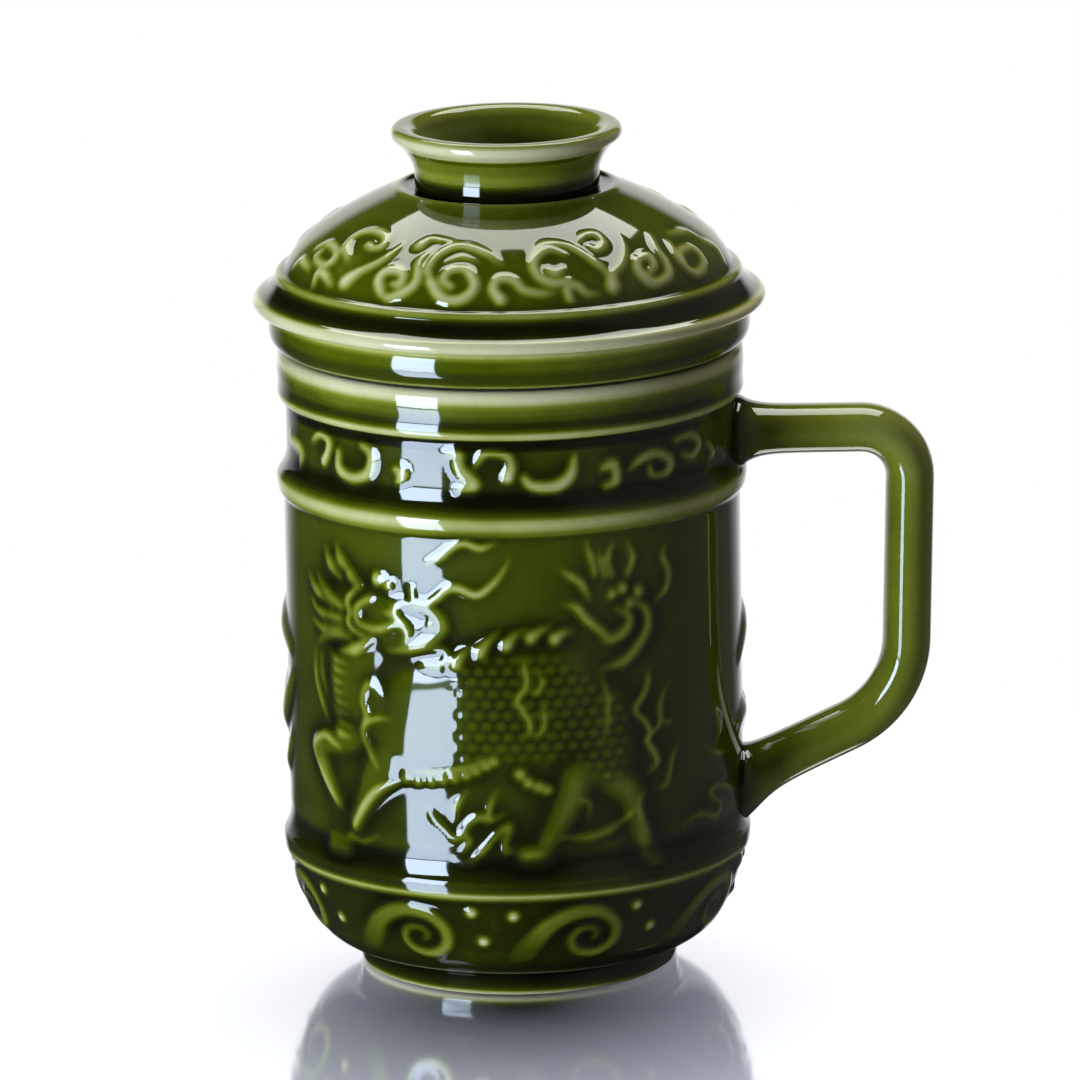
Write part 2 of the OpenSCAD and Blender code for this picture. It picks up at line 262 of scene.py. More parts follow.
def raiseStroke(relief, stroke, layer, widen=1.0, lift=1.0, thin=0.0, flat=1.0):
    # a stroke is points as (degrees, rise), half widths and heights along it, all but the
    # first in mm; flat above 1 gives it a level top
    points, halves, heights = stroke
    middle = relief["radii"].mean()
    points = np.array(points, float) * (math.radians(middle), 1)
    line = smoothLine(points)
    t = np.linspace(0, 1, len(line))
    half = np.interp(t, np.linspace(0, 1, len(halves)), halves) * widen
    height = np.interp(t, np.linspace(0, 1, len(heights)), heights) * lift
    reach = half.max()
    line = line / (middle, 1)
    widest = reach / relief["radii"].min()
    rows = np.flatnonzero((relief["rises"] > line[:, 1].min() - reach)
                          & (relief["rises"] < line[:, 1].max() + reach))
    cols = np.flatnonzero((relief["angles"] > line[:, 0].min() - widest)
                          & (relief["angles"] < line[:, 0].max() + widest))
    if not len(rows) or not len(cols):
        return
    across = relief["angles"][cols][None, :, None] - line[:, 0]
    across = across * relief["radii"][rows][:, None, None]
    along = relief["rises"][rows][:, None, None] - line[:, 1]
    share = np.clip((1 - (across ** 2 + along ** 2) / half ** 2) * flat, 0, 1)
    share = share * share * (3 - 2 * share) if flat > 1 else share
    window = np.ix_(rows, cols)
    relief[layer][window] = np.maximum(relief[layer][window], (share * height).max(axis=2))
    if thin:
        share = (share * height / height.max()).max(axis=2)
        relief["thin"][window] = np.maximum(relief["thin"][window], thin * share)


def takeUp(relief, name, rises, angles):
    # reads one layer of a relief at each row's rise and each column's angle
    net = relief[name]
    whole = 2 * math.pi
    angles = (angles - relief["angles"][0]) % whole + relief["angles"][0]
    row = (rises - relief["rises"][0]) / relief["cell"]
    col = (angles - relief["angles"][0]) / relief["turn"]
    inside = ((row > 0) & (row < net.shape[0] - 1))[:, None] & (col > 0) & (col < net.shape[1] - 1)
    row = np.clip(row, 0, net.shape[0] - 1.001)
    col = np.clip(col, 0, net.shape[1] - 1.001)
    r0, c0 = row.astype(int), col.astype(int)
    fr, fc = (row - r0)[:, None], col - c0
    value = (net[np.ix_(r0, c0)] * (1 - fr) * (1 - fc) + net[np.ix_(r0 + 1, c0)] * fr * (1 - fc)
             + net[np.ix_(r0, c0 + 1)] * (1 - fr) * fc + net[np.ix_(r0 + 1, c0 + 1)] * fr * fc)
    return value * inside


# mug body

mugSet = {
    "columns": 392,
    "crowding": 0.16,   # share by which columns crowd to the front
    "fieldStep": 0.5,   # rows in the carved field, mm
    "plainStep": 0.7,   # rows on the ridges and the lip, mm
    "fieldZ": (28, 84),
    "footStep": 2.4,
    "bendStep": 1.6,    # rows inside, at the lip and at the floor's bend
    "straightStep": 7,  # rows inside, on the wall between straightZ and on the floor within floorR
    "straightZ": (30, 104),
    "floorR": 20,
    "outside": [(26.9, 0), (27.5, 0.6, 0.6), (28.0, 3.8), (29.2, 4.2, -0.9), (35.7, 8.8, 10),
                (39.6, 19.9, 35), (39.7, 19.9), (40.5, 21.6, 1.8), (40.6, 23.3, 14),
                (39.4, 29.3, -9.6), (39.4, 83.8), (40.5, 85.5, 1.8), (40.6, 87.2, 14),
                (38.8, 92.0, -7.68), (38.8, 100.5), (40.2, 102.0, 1.3), (40.1, 104.2, -12),
                (40.15, 107.6, 16), (39.4, 109.2, 1.7)],
    "inside": [(39.4, 109.2), (37.3, 109.2), (36.4, 108.3, 0.9), (36.4, 20.2),
               (22.4, 6.2, -14), (0, 6.2)],
    "foot": [(0, 2.2), (24.3, 2.2), (24.3, 0), (26.9, 0)],
    # base is the glaze's depth on plain wall, 0 thin to 1 thick
    # hollows hold more: size in mm, gain on the outline, gain on the carving
    # bands: low and high z, nearest and farthest r, fade in mm, change of the glaze's depth; the bands
    # marked below paint shade
    "glaze": {"base": 0.54, "hollows": [(0.9, 0.45, 0.8), (2.6, 0.2, 1.1)],
              # of the bands below, those from 0.7 to 5.5 and from 4 to 8 high darken the foot and the
              # bowl's underside: painted shade under the bowl
              "depthAndShadeBands": [(-1, 0.3, 26, 29, 0.4, -0.4), (0.7, 5.5, 26, 35, 0.7, 0.42),
                        (4, 8, 29, 37, 3.0, 0.2), (6, 20.4, 29, 40, 1.5, 0.2),
                        (20.9, 21.7, 38, 41, 0.4, -0.3), (21.9, 28.0, 38, 41, 1.4, 0.3),
                        (28, 36, 38, 41, 8.0, 0.08), (28, 78, 38, 41, 10.0, 0.06),
                        (85.4, 87.0, 38, 41, 0.6, -0.28), (88.6, 91.8, 38, 41, 1.4, 0.34),
                        (92, 98.5, 38, 41, 1.5, 0.05), (98.9, 100.8, 38, 41, 0.7, 0.38),
                        (100.9, 102.2, 38, 41, 0.6, -0.25), (102.6, 104.2, 38, 41, 1.0, 0.25),
                        # on the next line, the second band darkens the lip's flat top in the slit under the
                        # collar: painted shade
                        (107.2, 109.6, 38.9, 41, 1.5, -0.48), (109, 109.5, 37, 38.9, 0.2, 0.5)]},
}

mugRelief = {
    "shift": (-0.4, 1.06),   # moves the whole carving, degrees and mm
    "angles": (-98, 98),     # the carved stretch of the wall, degrees from the front
    "carvedZ": (24.5, 100.5),
    "limit": 1.2,            # greatest height of the figures, mm
    "softness": 0.65,        # of the body's outline, mm
    "smoothing": 1.5,        # of the whole carving, in cells of its net
    # rows of scales lie on the body where it is thick enough
    "scalePitch": 2.4,       # from scale to scale in a row, mm
    "scaleRows": 0.8,        # from row to row, as a share of the pitch
    "scaleRadius": 0.58,     # of one scale, as a share of the pitch
    "scaleWide": 1.15,       # how much wider than tall a scale is
    "scaleLevel": 1.5,       # above 1 it has a level top
    "scaleHeight": 0.3,
    "scaleThin": 0.32,       # how much less glaze lies on a scale than beside it
    "scaleDip": 1.14,        # how far that is moved towards more glaze, as a share
    "scalesFrom": -17,       # degrees
    "scaleFade": 0.1,        # radians
    "scaleMass": (0.28, 0.2),    # the body's height where scales start, and their fade, mm
    "scaleGap": 0.2,         # height of a line at which the scales under it have gone, mm
    # how strokes are drawn: factors on widths and heights, and how much less glaze they hold
    "bodyStyle": {"thin": 0.02},
    "lineStyle": {"widen": 1.25, "lift": 0.85, "thin": 0.04},
    "slenderStyle": {"widen": 1.25, "lift": 0.85, "thin": 0.18},
    "slenderHalf": 0.75,     # lines whose half widths stay below this are slender, mm
    "knobStyle": {"widen": 1.3, "thin": 0.05},
    "bandStyle": {"lift": 1.2, "thin": 0.17},
    # each stroke is points as (degrees from the front, height), half widths, heights
    "body": [
        ([(-30, 47.6), (-16, 51.4), (-1, 53.4), (11.5, 52.4), (19.5, 48.6)], [9, 11.5, 12.5, 12, 8],
         [0.75, 0.85, 0.85, 0.8, 0.6]),
        ([(-29.5, 46.6), (-38, 50.8), (-44.5, 55.8), (-40.5, 62.4)], [8, 6.5, 5.5, 5],
         [0.7, 0.75, 0.7, 0.7]),
        ([(-44, 66.8), (-34.5, 67.2), (-25, 65.2)], [6.5, 6, 4.2], [0.7, 0.8, 0.5]),
        ([(21, 50), (23.5, 43.8)], [8, 6.5], [0.75, 0.6]),
        ([(-33.5, 42.8), (-38.5, 36.6), (-43.5, 30.8)], [5, 3.2, 1.9], [0.8, 0.75, 0.7]),
        ([(17, 41.4), (12.5, 34.6), (8, 29.6)], [4.2, 3, 2], [0.8, 0.75, 0.7]),
        ([(20.5, 42), (29.5, 37.2), (31, 33.2), (35, 26)], [4.2, 3.4, 2.4, 1.9], [0.7, 0.75, 0.7, 0.7]),
        ([(-41.5, 46.4), (-51.5, 44), (-57.5, 42.6)], [3.6, 2.8, 2.2], [0.6, 0.7, 0.7]),
        ([(-57.5, 42.6), (-54.5, 38.2), (-50, 33.4)], [2.2, 1.7, 1.2], [0.7, 0.7, 0.6]),
        ([(-52, 26), (-47, 26)], [2.1, 2.1], [0.85, 0.8]),
        ([(3, 27), (6, 27.2)], [2.2, 2.2], [0.85, 0.8]),
        ([(34, 25.8), (37, 24.4)], [2, 2], [0.8, 0.7]),
        ([(-95, 64), (-88, 59.5), (-78, 57)], [2.4, 3.6, 2], [0.7, 1.1, 0.5]),
        ([(-97, 42), (-89, 43.5), (-82, 47.5), (-76, 52)], [3, 3.8, 3.2, 1.6], [0.7, 1.15, 0.9, 0.4]),
        ([(-92, 34), (-84, 36), (-78, 41)], [1.6, 2.2, 1.4], [0.5, 0.7, 0.4]),
        ([(96, 62), (88, 57.5), (80, 54)], [2.2, 3.4, 2], [0.7, 1, 0.5]),
        ([(93, 40), (86, 43), (78, 42)], [2, 2.6, 1.6], [0.6, 0.9, 0.5]),
    ],
    "scaled": (0, 1, 3),     # the strokes of the body that carry scales
    "lines": [
        ([(-41.5, 72.4), (-44.5, 70), (-43.5, 68), (-44, 65.8), (-40.5, 64.4), (-36, 64.4)],
         [0.6, 0.7, 0.6, 0.7, 0.6, 0.4], [0.4, 0.5, 0.45, 0.5, 0.45, 0.2]),
        ([(-37, 71), (-41, 69), (-40.5, 66.4), (-35, 65.8), (-29.5, 67), (-27, 65.8)],
         [0.7, 0.9, 0.9, 0.9, 0.8, 0.5], [0.5, 0.6, 0.55, 0.55, 0.5, 0.3]),
        ([(-31, 70.4), (-25.5, 70.6), (-19.5, 69.4), (-17.5, 67), (-20.5, 64.4), (-25.5, 63), (-32.5, 62)],
         [0.6, 1, 1.2, 1.2, 1.1, 0.9, 0.5], [0.3, 0.5, 0.6, 0.6, 0.55, 0.45, 0.2]),
        ([(-32.5, 69), (-28.5, 67.8), (-26.5, 65.8), (-28, 63.6)], [0.5, 0.7, 0.7, 0.4],
         [0.3, 0.45, 0.4, 0.2]),
        ([(-23.5, 62.6), (-18, 63.4), (-16, 62), (-18.5, 60.4), (-23, 60.4)], [0.4, 0.8, 0.8, 0.8, 0.5],
         [0.2, 0.5, 0.5, 0.5, 0.3]),
        ([(-21.5, 78), (-17.5, 79.4), (-14.5, 81.2), (-11.5, 82), (-7.5, 81.2), (-3.5, 82.2)],
         [0.35, 0.6, 0.65, 0.65, 0.6, 0.3], [0.3, 0.55, 0.6, 0.6, 0.55, 0.25]),
        ([(-25.5, 73.6), (-25, 71.6), (-22, 71), (-19, 72), (-16, 73.8), (-13, 74), (-9, 73), (-6, 74),
         (-2.5, 76.6), (0, 79.8)], [0.5, 0.6, 0.65, 0.7, 0.7, 0.7, 0.65, 0.6, 0.45, 0.25],
         [0.4, 0.55, 0.6, 0.6, 0.6, 0.6, 0.55, 0.45, 0.3, 0.15]),
        ([(-59.5, 59), (-59, 54.2), (-56.5, 50.4), (-53.5, 46.8)], [0.3, 0.6, 0.6, 0.3],
         [0.2, 0.35, 0.35, 0.2]),
        ([(-56.5, 58.6), (-56, 55), (-54, 52)], [0.3, 0.5, 0.3], [0.15, 0.3, 0.15]),
        ([(-34.5, 53.8), (-38, 55.8), (-40, 52.8), (-38.5, 50), (-40, 47.4), (-38.5, 44.4), (-35.5, 41.2)],
         [0.3, 0.8, 0.6, 0.8, 0.7, 0.8, 0.4], [0.2, 0.5, 0.4, 0.5, 0.45, 0.5, 0.2]),
        ([(-39.5, 48.6), (-35.5, 50), (-31.5, 50.2)], [0.5, 0.6, 0.3], [0.4, 0.4, 0.2]),
        ([(-48.5, 43.2), (-54.5, 45), (-60, 42.2), (-56.5, 38.2), (-51.5, 34.4), (-48, 32.4)],
         [0.4, 0.8, 0.9, 0.8, 0.7, 0.3], [0.3, 0.6, 0.6, 0.55, 0.45, 0.2]),
        ([(-29.5, 39.4), (-35.5, 37.4), (-40, 34), (-44, 29.6)], [0.6, 0.9, 0.9, 0.6],
         [0.4, 0.6, 0.6, 0.4]),
        ([(-46, 28.2), (-41.5, 27.4), (-36.5, 29)], [0.5, 0.55, 0.25], [0.4, 0.35, 0.15]),
        ([(-28.5, 41.4), (-21.5, 41.6), (-13, 42.6), (-8, 44), (-4.5, 45.6)], [0.4, 0.6, 0.6, 0.6, 0.3],
         [0.2, 0.35, 0.4, 0.35, 0.2]),
        ([(-22, 35.2), (-20.5, 33.2), (-18, 31.8), (-15.5, 30.2), (-13, 30.8), (-12, 32.4), (-9, 34),
         (-6, 33.6), (-2.5, 34.6)], [0.3, 0.6, 0.6, 0.7, 0.7, 0.7, 0.9, 0.7, 0.3],
         [0.2, 0.45, 0.45, 0.55, 0.55, 0.5, 0.6, 0.5, 0.2]),
        ([(-6.5, 34), (-6, 36.4), (-4, 39)], [0.7, 0.55, 0.2], [0.5, 0.4, 0.15]),
        ([(-15, 33), (-14.5, 36), (-11.5, 38.8)], [0.3, 0.6, 0.25], [0.2, 0.45, 0.15]),
        ([(-12.5, 31), (-11.5, 29.8), (-13.5, 27.8)], [0.5, 0.6, 0.3], [0.4, 0.45, 0.2]),
        ([(-15.5, 26.6), (-11, 26.2), (-7.5, 28.6), (-4, 31.4), (-1.5, 32.4), (-2.5, 29.6), (-2, 27.8),
         (0, 29)], [0.3, 0.6, 0.7, 0.7, 0.8, 0.9, 0.7, 0.3], [0.2, 0.5, 0.55, 0.55, 0.6, 0.6, 0.5, 0.2]),
        ([(12, 77.4), (14, 76.2), (17.5, 74.4), (19.5, 71.6)], [0.3, 0.75, 0.8, 0.5],
         [0.2, 0.5, 0.55, 0.3]),
        ([(12.5, 71.2), (16, 70.4), (19, 68), (23, 65.6), (26, 64.4)], [0.3, 0.9, 1, 0.9, 0.6],
         [0.2, 0.6, 0.6, 0.55, 0.4]),
        ([(18.5, 82), (20, 79), (21, 75.8)], [0.3, 0.8, 0.6], [0.2, 0.5, 0.4]),
        ([(26.5, 81.2), (24.5, 78.6), (25.5, 75.4)], [0.3, 0.8, 0.6], [0.2, 0.5, 0.4]),
        ([(30, 80.8), (31.5, 78), (30, 75.2)], [0.3, 0.8, 0.6], [0.2, 0.5, 0.4]),
        ([(22, 80.4), (22.5, 77.8), (23.5, 75.4)], [0.3, 0.6, 0.5], [0.15, 0.4, 0.3]),
        ([(42, 79.2), (40.5, 77.4), (42.5, 74.4), (41.5, 71.4), (37.5, 69.4)], [0.3, 0.6, 0.6, 0.6, 0.3],
         [0.2, 0.45, 0.45, 0.45, 0.2]),
        ([(30.5, 70.6), (35, 68.6), (35.5, 65.4), (32.5, 62.2), (28.5, 60), (22.5, 59.2)],
         [0.7, 1, 1.1, 1.1, 1, 0.4], [0.4, 0.65, 0.65, 0.65, 0.55, 0.2]),
        ([(27, 69.4), (30.5, 67.6), (29, 65.2), (24.5, 64.2), (22, 65.6)], [0.5, 1, 1.2, 1, 0.5],
         [0.3, 0.55, 0.6, 0.55, 0.3]),
        ([(2, 62.6), (3, 60), (3, 57.2), (1, 54.8), (3, 52.2), (4, 50), (2.5, 47.6)],
         [0.3, 0.65, 0.6, 0.7, 0.65, 0.7, 0.3], [0.2, 0.5, 0.5, 0.5, 0.5, 0.5, 0.2]),
        ([(6, 60), (7, 57.8), (5.5, 56), (3, 56.8)], [0.4, 0.6, 0.6, 0.4], [0.3, 0.45, 0.45, 0.3]),
        ([(7, 54.2), (7.5, 51.2), (6.5, 49), (4, 48.6)], [0.4, 0.6, 0.6, 0.4], [0.3, 0.45, 0.45, 0.3]),
        ([(22, 58.6), (23.5, 54.8), (23.5, 50.6), (22, 45.8)], [0.3, 0.6, 0.6, 0.3],
         [0.15, 0.35, 0.35, 0.15]),
        ([(35.5, 58.2), (35.5, 55.4), (33.5, 53), (31.5, 51.2), (34.5, 48.8), (36, 46.6), (35, 45.4),
         (37.5, 42.8), (38, 41), (35, 39.8)], [0.3, 0.6, 0.65, 0.7, 0.65, 0.65, 0.7, 0.7, 0.6, 0.3],
         [0.2, 0.4, 0.45, 0.5, 0.5, 0.5, 0.5, 0.5, 0.45, 0.2]),
        ([(36, 46.6), (39, 48), (39.5, 52), (42.5, 55)], [0.5, 0.6, 0.5, 0.2], [0.4, 0.4, 0.35, 0.15]),
        ([(39.5, 49), (41.5, 47.8), (43.5, 48.8)], [0.3, 0.5, 0.25], [0.2, 0.35, 0.15]),
        ([(11, 30.2), (19, 30), (25.5, 31.2), (30, 33.4)], [0.4, 0.9, 0.9, 0.5], [0.3, 0.5, 0.5, 0.3]),
        ([(16, 36.6), (19, 35.8), (18, 33)], [0.3, 0.6, 0.3], [0.2, 0.35, 0.2]),
        ([(34, 37), (32, 34.2), (35, 28.8)], [0.3, 0.55, 0.3], [0.2, 0.35, 0.2]),
        ([(45.5, 44), (43, 41.4), (42, 38.6), (40.5, 36.8), (36.5, 36.6)], [0.25, 0.5, 0.5, 0.5, 0.25],
         [0.15, 0.35, 0.35, 0.35, 0.15]),
        ([(59.5, 48), (62.5, 44.4), (61.5, 41.6)], [0.3, 0.8, 0.5], [0.2, 0.5, 0.3]),
        ([(55.5, 41.6), (61, 39.6), (69, 38.6)], [0.3, 0.6, 0.3], [0.2, 0.4, 0.2]),
        ([(74.5, 30.6), (62, 33.6), (57.5, 32.8), (63, 30), (60.5, 28.6), (52.5, 30), (46, 28.8)],
         [0.3, 0.6, 0.6, 0.6, 0.6, 0.6, 0.3], [0.2, 0.4, 0.4, 0.4, 0.4, 0.4, 0.2]),
    ],
    "mane": {  # tufts of one size
        "halves": [0.4, 1.3, 0.8], "heights": [0.25, 0.7, 0.45],
        "points": [
            [(-53.5, 78), (-51.5, 75.6), (-47.5, 73.4)], [(-49, 79), (-47.5, 76.6), (-43.5, 74.6)],
            [(-57.5, 72.8), (-53, 70.2), (-46.5, 68.6)], [(-61, 68.4), (-56.5, 66.4), (-47, 66.4)],
            [(-60.5, 64.6), (-54.5, 63.6), (-46.5, 64.6)], [(-57.5, 61), (-51, 63.2), (-44, 63.6)],
            [(-48, 60.6), (-42, 61.6), (-37, 63.8)], [(-45.5, 76.8), (-44, 74.4), (-40.5, 72.8)],
            [(-62, 72.4), (-57.5, 70), (-50.5, 68.4)]],
    },
    "fins": {  # along the back
        "halves": [1.3, 0.8, 0.25], "heights": [0.9, 0.6, 0.2],
        "points": [
            [(-14, 61), (-12, 62.8), (-9.5, 64.4)], [(-8, 63), (-6, 64.8), (-2.5, 67)],
            [(-1.5, 64.4), (0.5, 65.8), (3.5, 67.4)], [(4.5, 65.6), (7, 66.6), (10, 67.6)],
            [(10.5, 65.2), (12.5, 66), (15.5, 66.2)]],
    },
    "plates": {  # across the throat
        "halves": [0.45, 0.75, 0.4], "heights": [0.15, 0.4, 0.15],
        "points": [
            [(-52.5, 60.2), (-50.5, 59), (-45.5, 58.6)], [(-52.5, 58.4), (-50, 57.2), (-45.5, 56.8)],
            [(-52.5, 56.6), (-50, 55.2), (-45.5, 55)], [(-52, 54.8), (-50, 53.4), (-45.5, 53.2)],
            [(-52, 52.8), (-49.5, 51.6), (-45, 51.2)], [(-52, 51), (-49.5, 49.8), (-45, 49.4)],
            [(-51, 49.4), (-48.5, 48), (-44, 47.6)], [(-50.5, 47.4), (-48.5, 46.2), (-44, 45.8)]],
    },
    # half width, height, places
    "knobs": [
        (1.3, 0.8, [(-35, 74.4)]),
        (1, 0.7, [(-32, 73.6)]),
        (1, 0.5, [(-30, 69.2), (-27.5, 40), (-24.5, 39.8), (-21, 40), (-18, 40.4), (-15, 40.8), (-12, 41.4),
         (-9.5, 42.2), (-7, 43.2), (-5, 44)]),
        (1.2, 0.5, [(-20, 67.4)]),
        (1.1, 0.6, [(1.5, 41.6), (3.5, 40.2), (6, 39.4), (8, 38.8)]),
        (1.1, 0.55, [(28.5, 72.8), (30.5, 70)]),
        (1.2, 0.55, [(33, 71.8)]),
        (0.9, 0.55, [(25.5, 72)]),
    ],
    "band": [
        ([(-76.5, 94.2), (-67, 93.2), (-66.5, 90.8)], [1, 1.5, 1], [0.3, 0.45, 0.3]),
        ([(-60, 95.8), (-55.5, 97.4), (-52, 96.4), (-53, 94.2), (-54.5, 92.8)], [0.7, 1, 1.1, 1.1, 1.2],
         [0.3, 0.45, 0.45, 0.5, 0.5]),
        ([(-48.5, 95.2), (-48, 92.2), (-43, 91), (-38, 92.6), (-37, 95.8), (-40, 97.2)],
         [1, 1.5, 1.7, 1.5, 1.4, 1], [0.35, 0.5, 0.55, 0.5, 0.45, 0.35]),
        ([(-30, 93.8), (-27.5, 93.2), (-29, 91.8)], [0.8, 1.2, 0.9], [0.35, 0.5, 0.4]),
        ([(-15.5, 97.2), (-13, 97.6), (-12.5, 94.8), (-9, 92), (-12.5, 91.2)], [0.9, 1.5, 1.7, 1.7, 1.2],
         [0.3, 0.45, 0.5, 0.55, 0.45]),
        ([(-8.5, 95.2), (-6, 97.6), (-1, 97.2), (0.5, 95.4), (-0.5, 93.4)], [0.7, 1.1, 1.1, 1.1, 1.6],
         [0.3, 0.45, 0.45, 0.45, 0.6]),
        ([(3.5, 93.2), (6, 91.6), (11.5, 91.4), (15.5, 93.4), (16.5, 96.4)], [1, 1.6, 1.8, 1.5, 0.9],
         [0.4, 0.55, 0.6, 0.5, 0.3]),
        ([(24, 94), (27, 94.4), (27.5, 91.4), (24.5, 90.6)], [1, 1.5, 1.5, 1.2], [0.35, 0.45, 0.5, 0.45]),
        ([(31, 93), (35, 94.6), (39.5, 95.2), (44, 93.6), (43, 91.4), (38.5, 91.4), (37.5, 93.2)],
         [0.6, 1.1, 1.3, 1.3, 1.2, 1, 0.8], [0.25, 0.45, 0.5, 0.5, 0.5, 0.45, 0.4]),
        ([(46, 96.6), (51, 97), (55.5, 95.2), (52.5, 93.2), (48.5, 94)], [0.8, 1, 1.1, 1, 0.8],
         [0.35, 0.45, 0.45, 0.45, 0.35]),
        ([(59, 94.6), (62, 92.8), (60, 91.2)], [0.8, 1, 0.8], [0.3, 0.4, 0.3]),
    ],
}

waveRelief = {
    "count": 8,
    "firstAngle": -161,  # degrees
    "netAngle": -172,    # where the carved net starts and ends, degrees
    "netLow": 2,         # its lower edge, as a distance up the outline, mm
    "netTop": 20,        # its upper edge, as a height, mm
    "bowlZ": 3.8,        # height from which places on the bowl are measured, mm
    "rise": 14.0,        # height of each spiral's middle along the bowl, mm
    "style": {"thin": 0.17, "flat": 1.8},
    "dotStyle": {"thin": 0.4, "flat": 1.6},
    "smoothing": 1.6,    # in cells of the net
    "points": [(-12.6, -5.4), (-9.8, -1.4), (-6.7, 2.9), (-2.5, 5.2), (1.7, 4.7), (4.2, 1.7),
               (3.8, -1.7), (1.1, -3.5), (-1.9, -2.8), (-3.1, -0.4), (-2.0, 1.7), (0.1, 1.9),
               (1.1, 0.6), (0.4, -0.5)],
    "halves": [1.6, 2.5, 2.3, 1.9, 1.75, 1.65, 1.5, 1.35, 1.2, 1.1, 1.0, 0.85, 0.7, 0.5],
    "heights": [0.0, 0.12, 0.3, 0.4, 0.42, 0.42, 0.4, 0.4, 0.4, 0.38, 0.36, 0.36, 0.34, 0.3],
    "pair": [(7.4, 5.2), (10.6, 0.5)],
    "three": [(8.6, 5.6), (15.0, 5.0), (10.2, -0.2)],
    "dotHalf": 1.2,
    "dotHeight": 0.5,
}


def sameSized(group):
    # strokes that share their half widths and heights
    return [(points, group["halves"], group["heights"]) for points in group["points"]]


def scalePattern(relief):
    # rows of small domes, each row shifted by half a pitch, like overlapping scales
    m = mugRelief
    pitch, rowPitch = m["scalePitch"], m["scalePitch"] * m["scaleRows"]
    x = relief["angles"][None, :] * relief["radii"][:, None]
    y = relief["rises"][:, None] + 0 * x
    nearest = np.full(x.shape, np.inf)
    for shift in (0, 1):
        row = np.round((y / rowPitch - shift) / 2) * 2 + shift
        col = np.round(x / pitch - shift / 2) + shift / 2
        away = np.hypot(x - col * pitch, (y - row * rowPitch) * m["scaleWide"])
        nearest = np.minimum(nearest, away)
    return np.clip((1 - (nearest / (pitch * m["scaleRadius"])) ** 2) * m["scaleLevel"], 0, 1)


def carveMug(path):
    m = mugRelief
    lengths = pathLengths(path)
    turn, lift = m["shift"]
    low, high = np.interp(m["carvedZ"], path[:, 1], lengths)
    relief = newRelief(path, *m["angles"], low, high)

    def raiseAll(strokes, layer, style):
        for points, halves, heights in strokes:
            placed = [(a + turn, np.interp(z + lift, path[:, 1], lengths)) for a, z in points]
            raiseStroke(relief, (placed, halves, heights), layer, **style)

    raiseAll([m["body"][i] for i in m["scaled"]], "mass", {})
    least, fade = m["scaleMass"]
    scaled = np.clip((relief["mass"] - least) / fade, 0, 1)
    scaled *= np.clip((relief["angles"] - math.radians(m["scalesFrom"])) / m["scaleFade"], 0, 1)
    raiseAll(m["body"], "mass", m["bodyStyle"])
    soften(relief, "mass", m["softness"] / relief["cell"])
    for stroke in m["lines"]:
        slender = max(stroke[1]) < m["slenderHalf"]
        raiseAll([stroke], "line", m["slenderStyle" if slender else "lineStyle"])
    raiseAll(sameSized(m["mane"]) + sameSized(m["fins"]), "line", m["lineStyle"])
    knobs = [([place], [half], [height]) for half, height, places in m["knobs"] for place in places]
    raiseAll(knobs + sameSized(m["plates"]), "line", m["knobStyle"])
    bare = scaled * np.clip(1 - relief["line"] / m["scaleGap"], 0, 1)
    pattern = scalePattern(relief)
    relief["thin"] += (pattern - m["scaleDip"]) * bare * m["scaleThin"]
    total = relief["mass"] + relief["line"] + pattern * bare * m["scaleHeight"]
    relief["height"] = np.minimum(total, m["limit"])
    raiseAll(m["band"], "height", m["bandStyle"])
    soften(relief, "height", m["smoothing"])
    soften(relief, "thin", m["smoothing"])
    return relief


def carveBowl(path):
    w = waveRelief
    lengths = pathLengths(path)
    foot, top = np.interp((w["bowlZ"], w["netTop"]), path[:, 1], lengths)
    relief = newRelief(path, w["netAngle"], w["netAngle"] + 360, w["netLow"], top)
    middle = relief["radii"].mean()

    def placed(points, turn):
        return [(turn + math.degrees(x / middle), foot + w["rise"] + y) for x, y in points]

    for i in range(w["count"] + 1):  # the last is the first again, for the net's other end
        turn = w["firstAngle"] + i * 360 / w["count"]
        spiral = (placed(w["points"], turn), w["halves"], w["heights"])
        raiseStroke(relief, spiral, "height", **w["style"])
        for spot in w["three" if i % 2 else "pair"]:
            dot = (placed([spot], turn), [w["dotHalf"]], [w["dotHeight"]])
            raiseStroke(relief, dot, "height", **w["dotStyle"])
    soften(relief, "height", w["smoothing"])
    soften(relief, "thin", w["smoothing"])
    return relief


def joinPaths(*paths):
    # chains resampled paths, without the points that they share
    joined = [paths[0]]
    for path in paths[1:]:
        joined.append(path[1:])
    return np.concatenate(joined)


def buildMugBody():
    s = mugSet

    def outsideStep(r, z):
        low, high = s["fieldZ"]
        return np.where((z > low) & (z < high), s["fieldStep"], s["plainStep"])

    def insideStep(r, z):
        low, high = s["straightZ"]
        return np.where((z > low) & (z < high) | (r < s["floorR"]), s["straightStep"], s["bendStep"])

    path = tracePath(s["outside"])
    foot = evenRows(tracePath(s["foot"]), s["footStep"])
    outside = spreadRows(path, outsideStep)
    inside = spreadRows(tracePath(s["inside"]), insideStep)
    foot[0, 0] = inside[-1, 0] = 0
    outline = joinPaths(foot, outside, inside)
    angles = columnAngles(s["columns"], s["crowding"])
    height, thin = (np.zeros((len(outline), len(angles))) for i in range(2))
    wall = slice(len(foot) - 1, len(foot) - 1 + len(outside))
    rises = np.interp(outside[:, 1], path[:, 1], pathLengths(path))
    # the carving of the front is mirrored on the back
    mirrored = np.where(abs(angles) > math.pi / 2, np.sign(angles) * math.pi - angles, angles)
    for relief, turned in ((carveMug(path), mirrored), (carveBowl(path), angles)):
        height[wall] += takeUp(relief, "height", rises, turned)
        thin[wall] += takeUp(relief, "thin", rises, turned)
    piece, rows, cols = spunMesh("mug_skin", outline, len(angles))
    shapeSkin(piece, rows, cols, outline, False, angles, height, thin, s["glaze"])
    return piece


# collar of the infuser

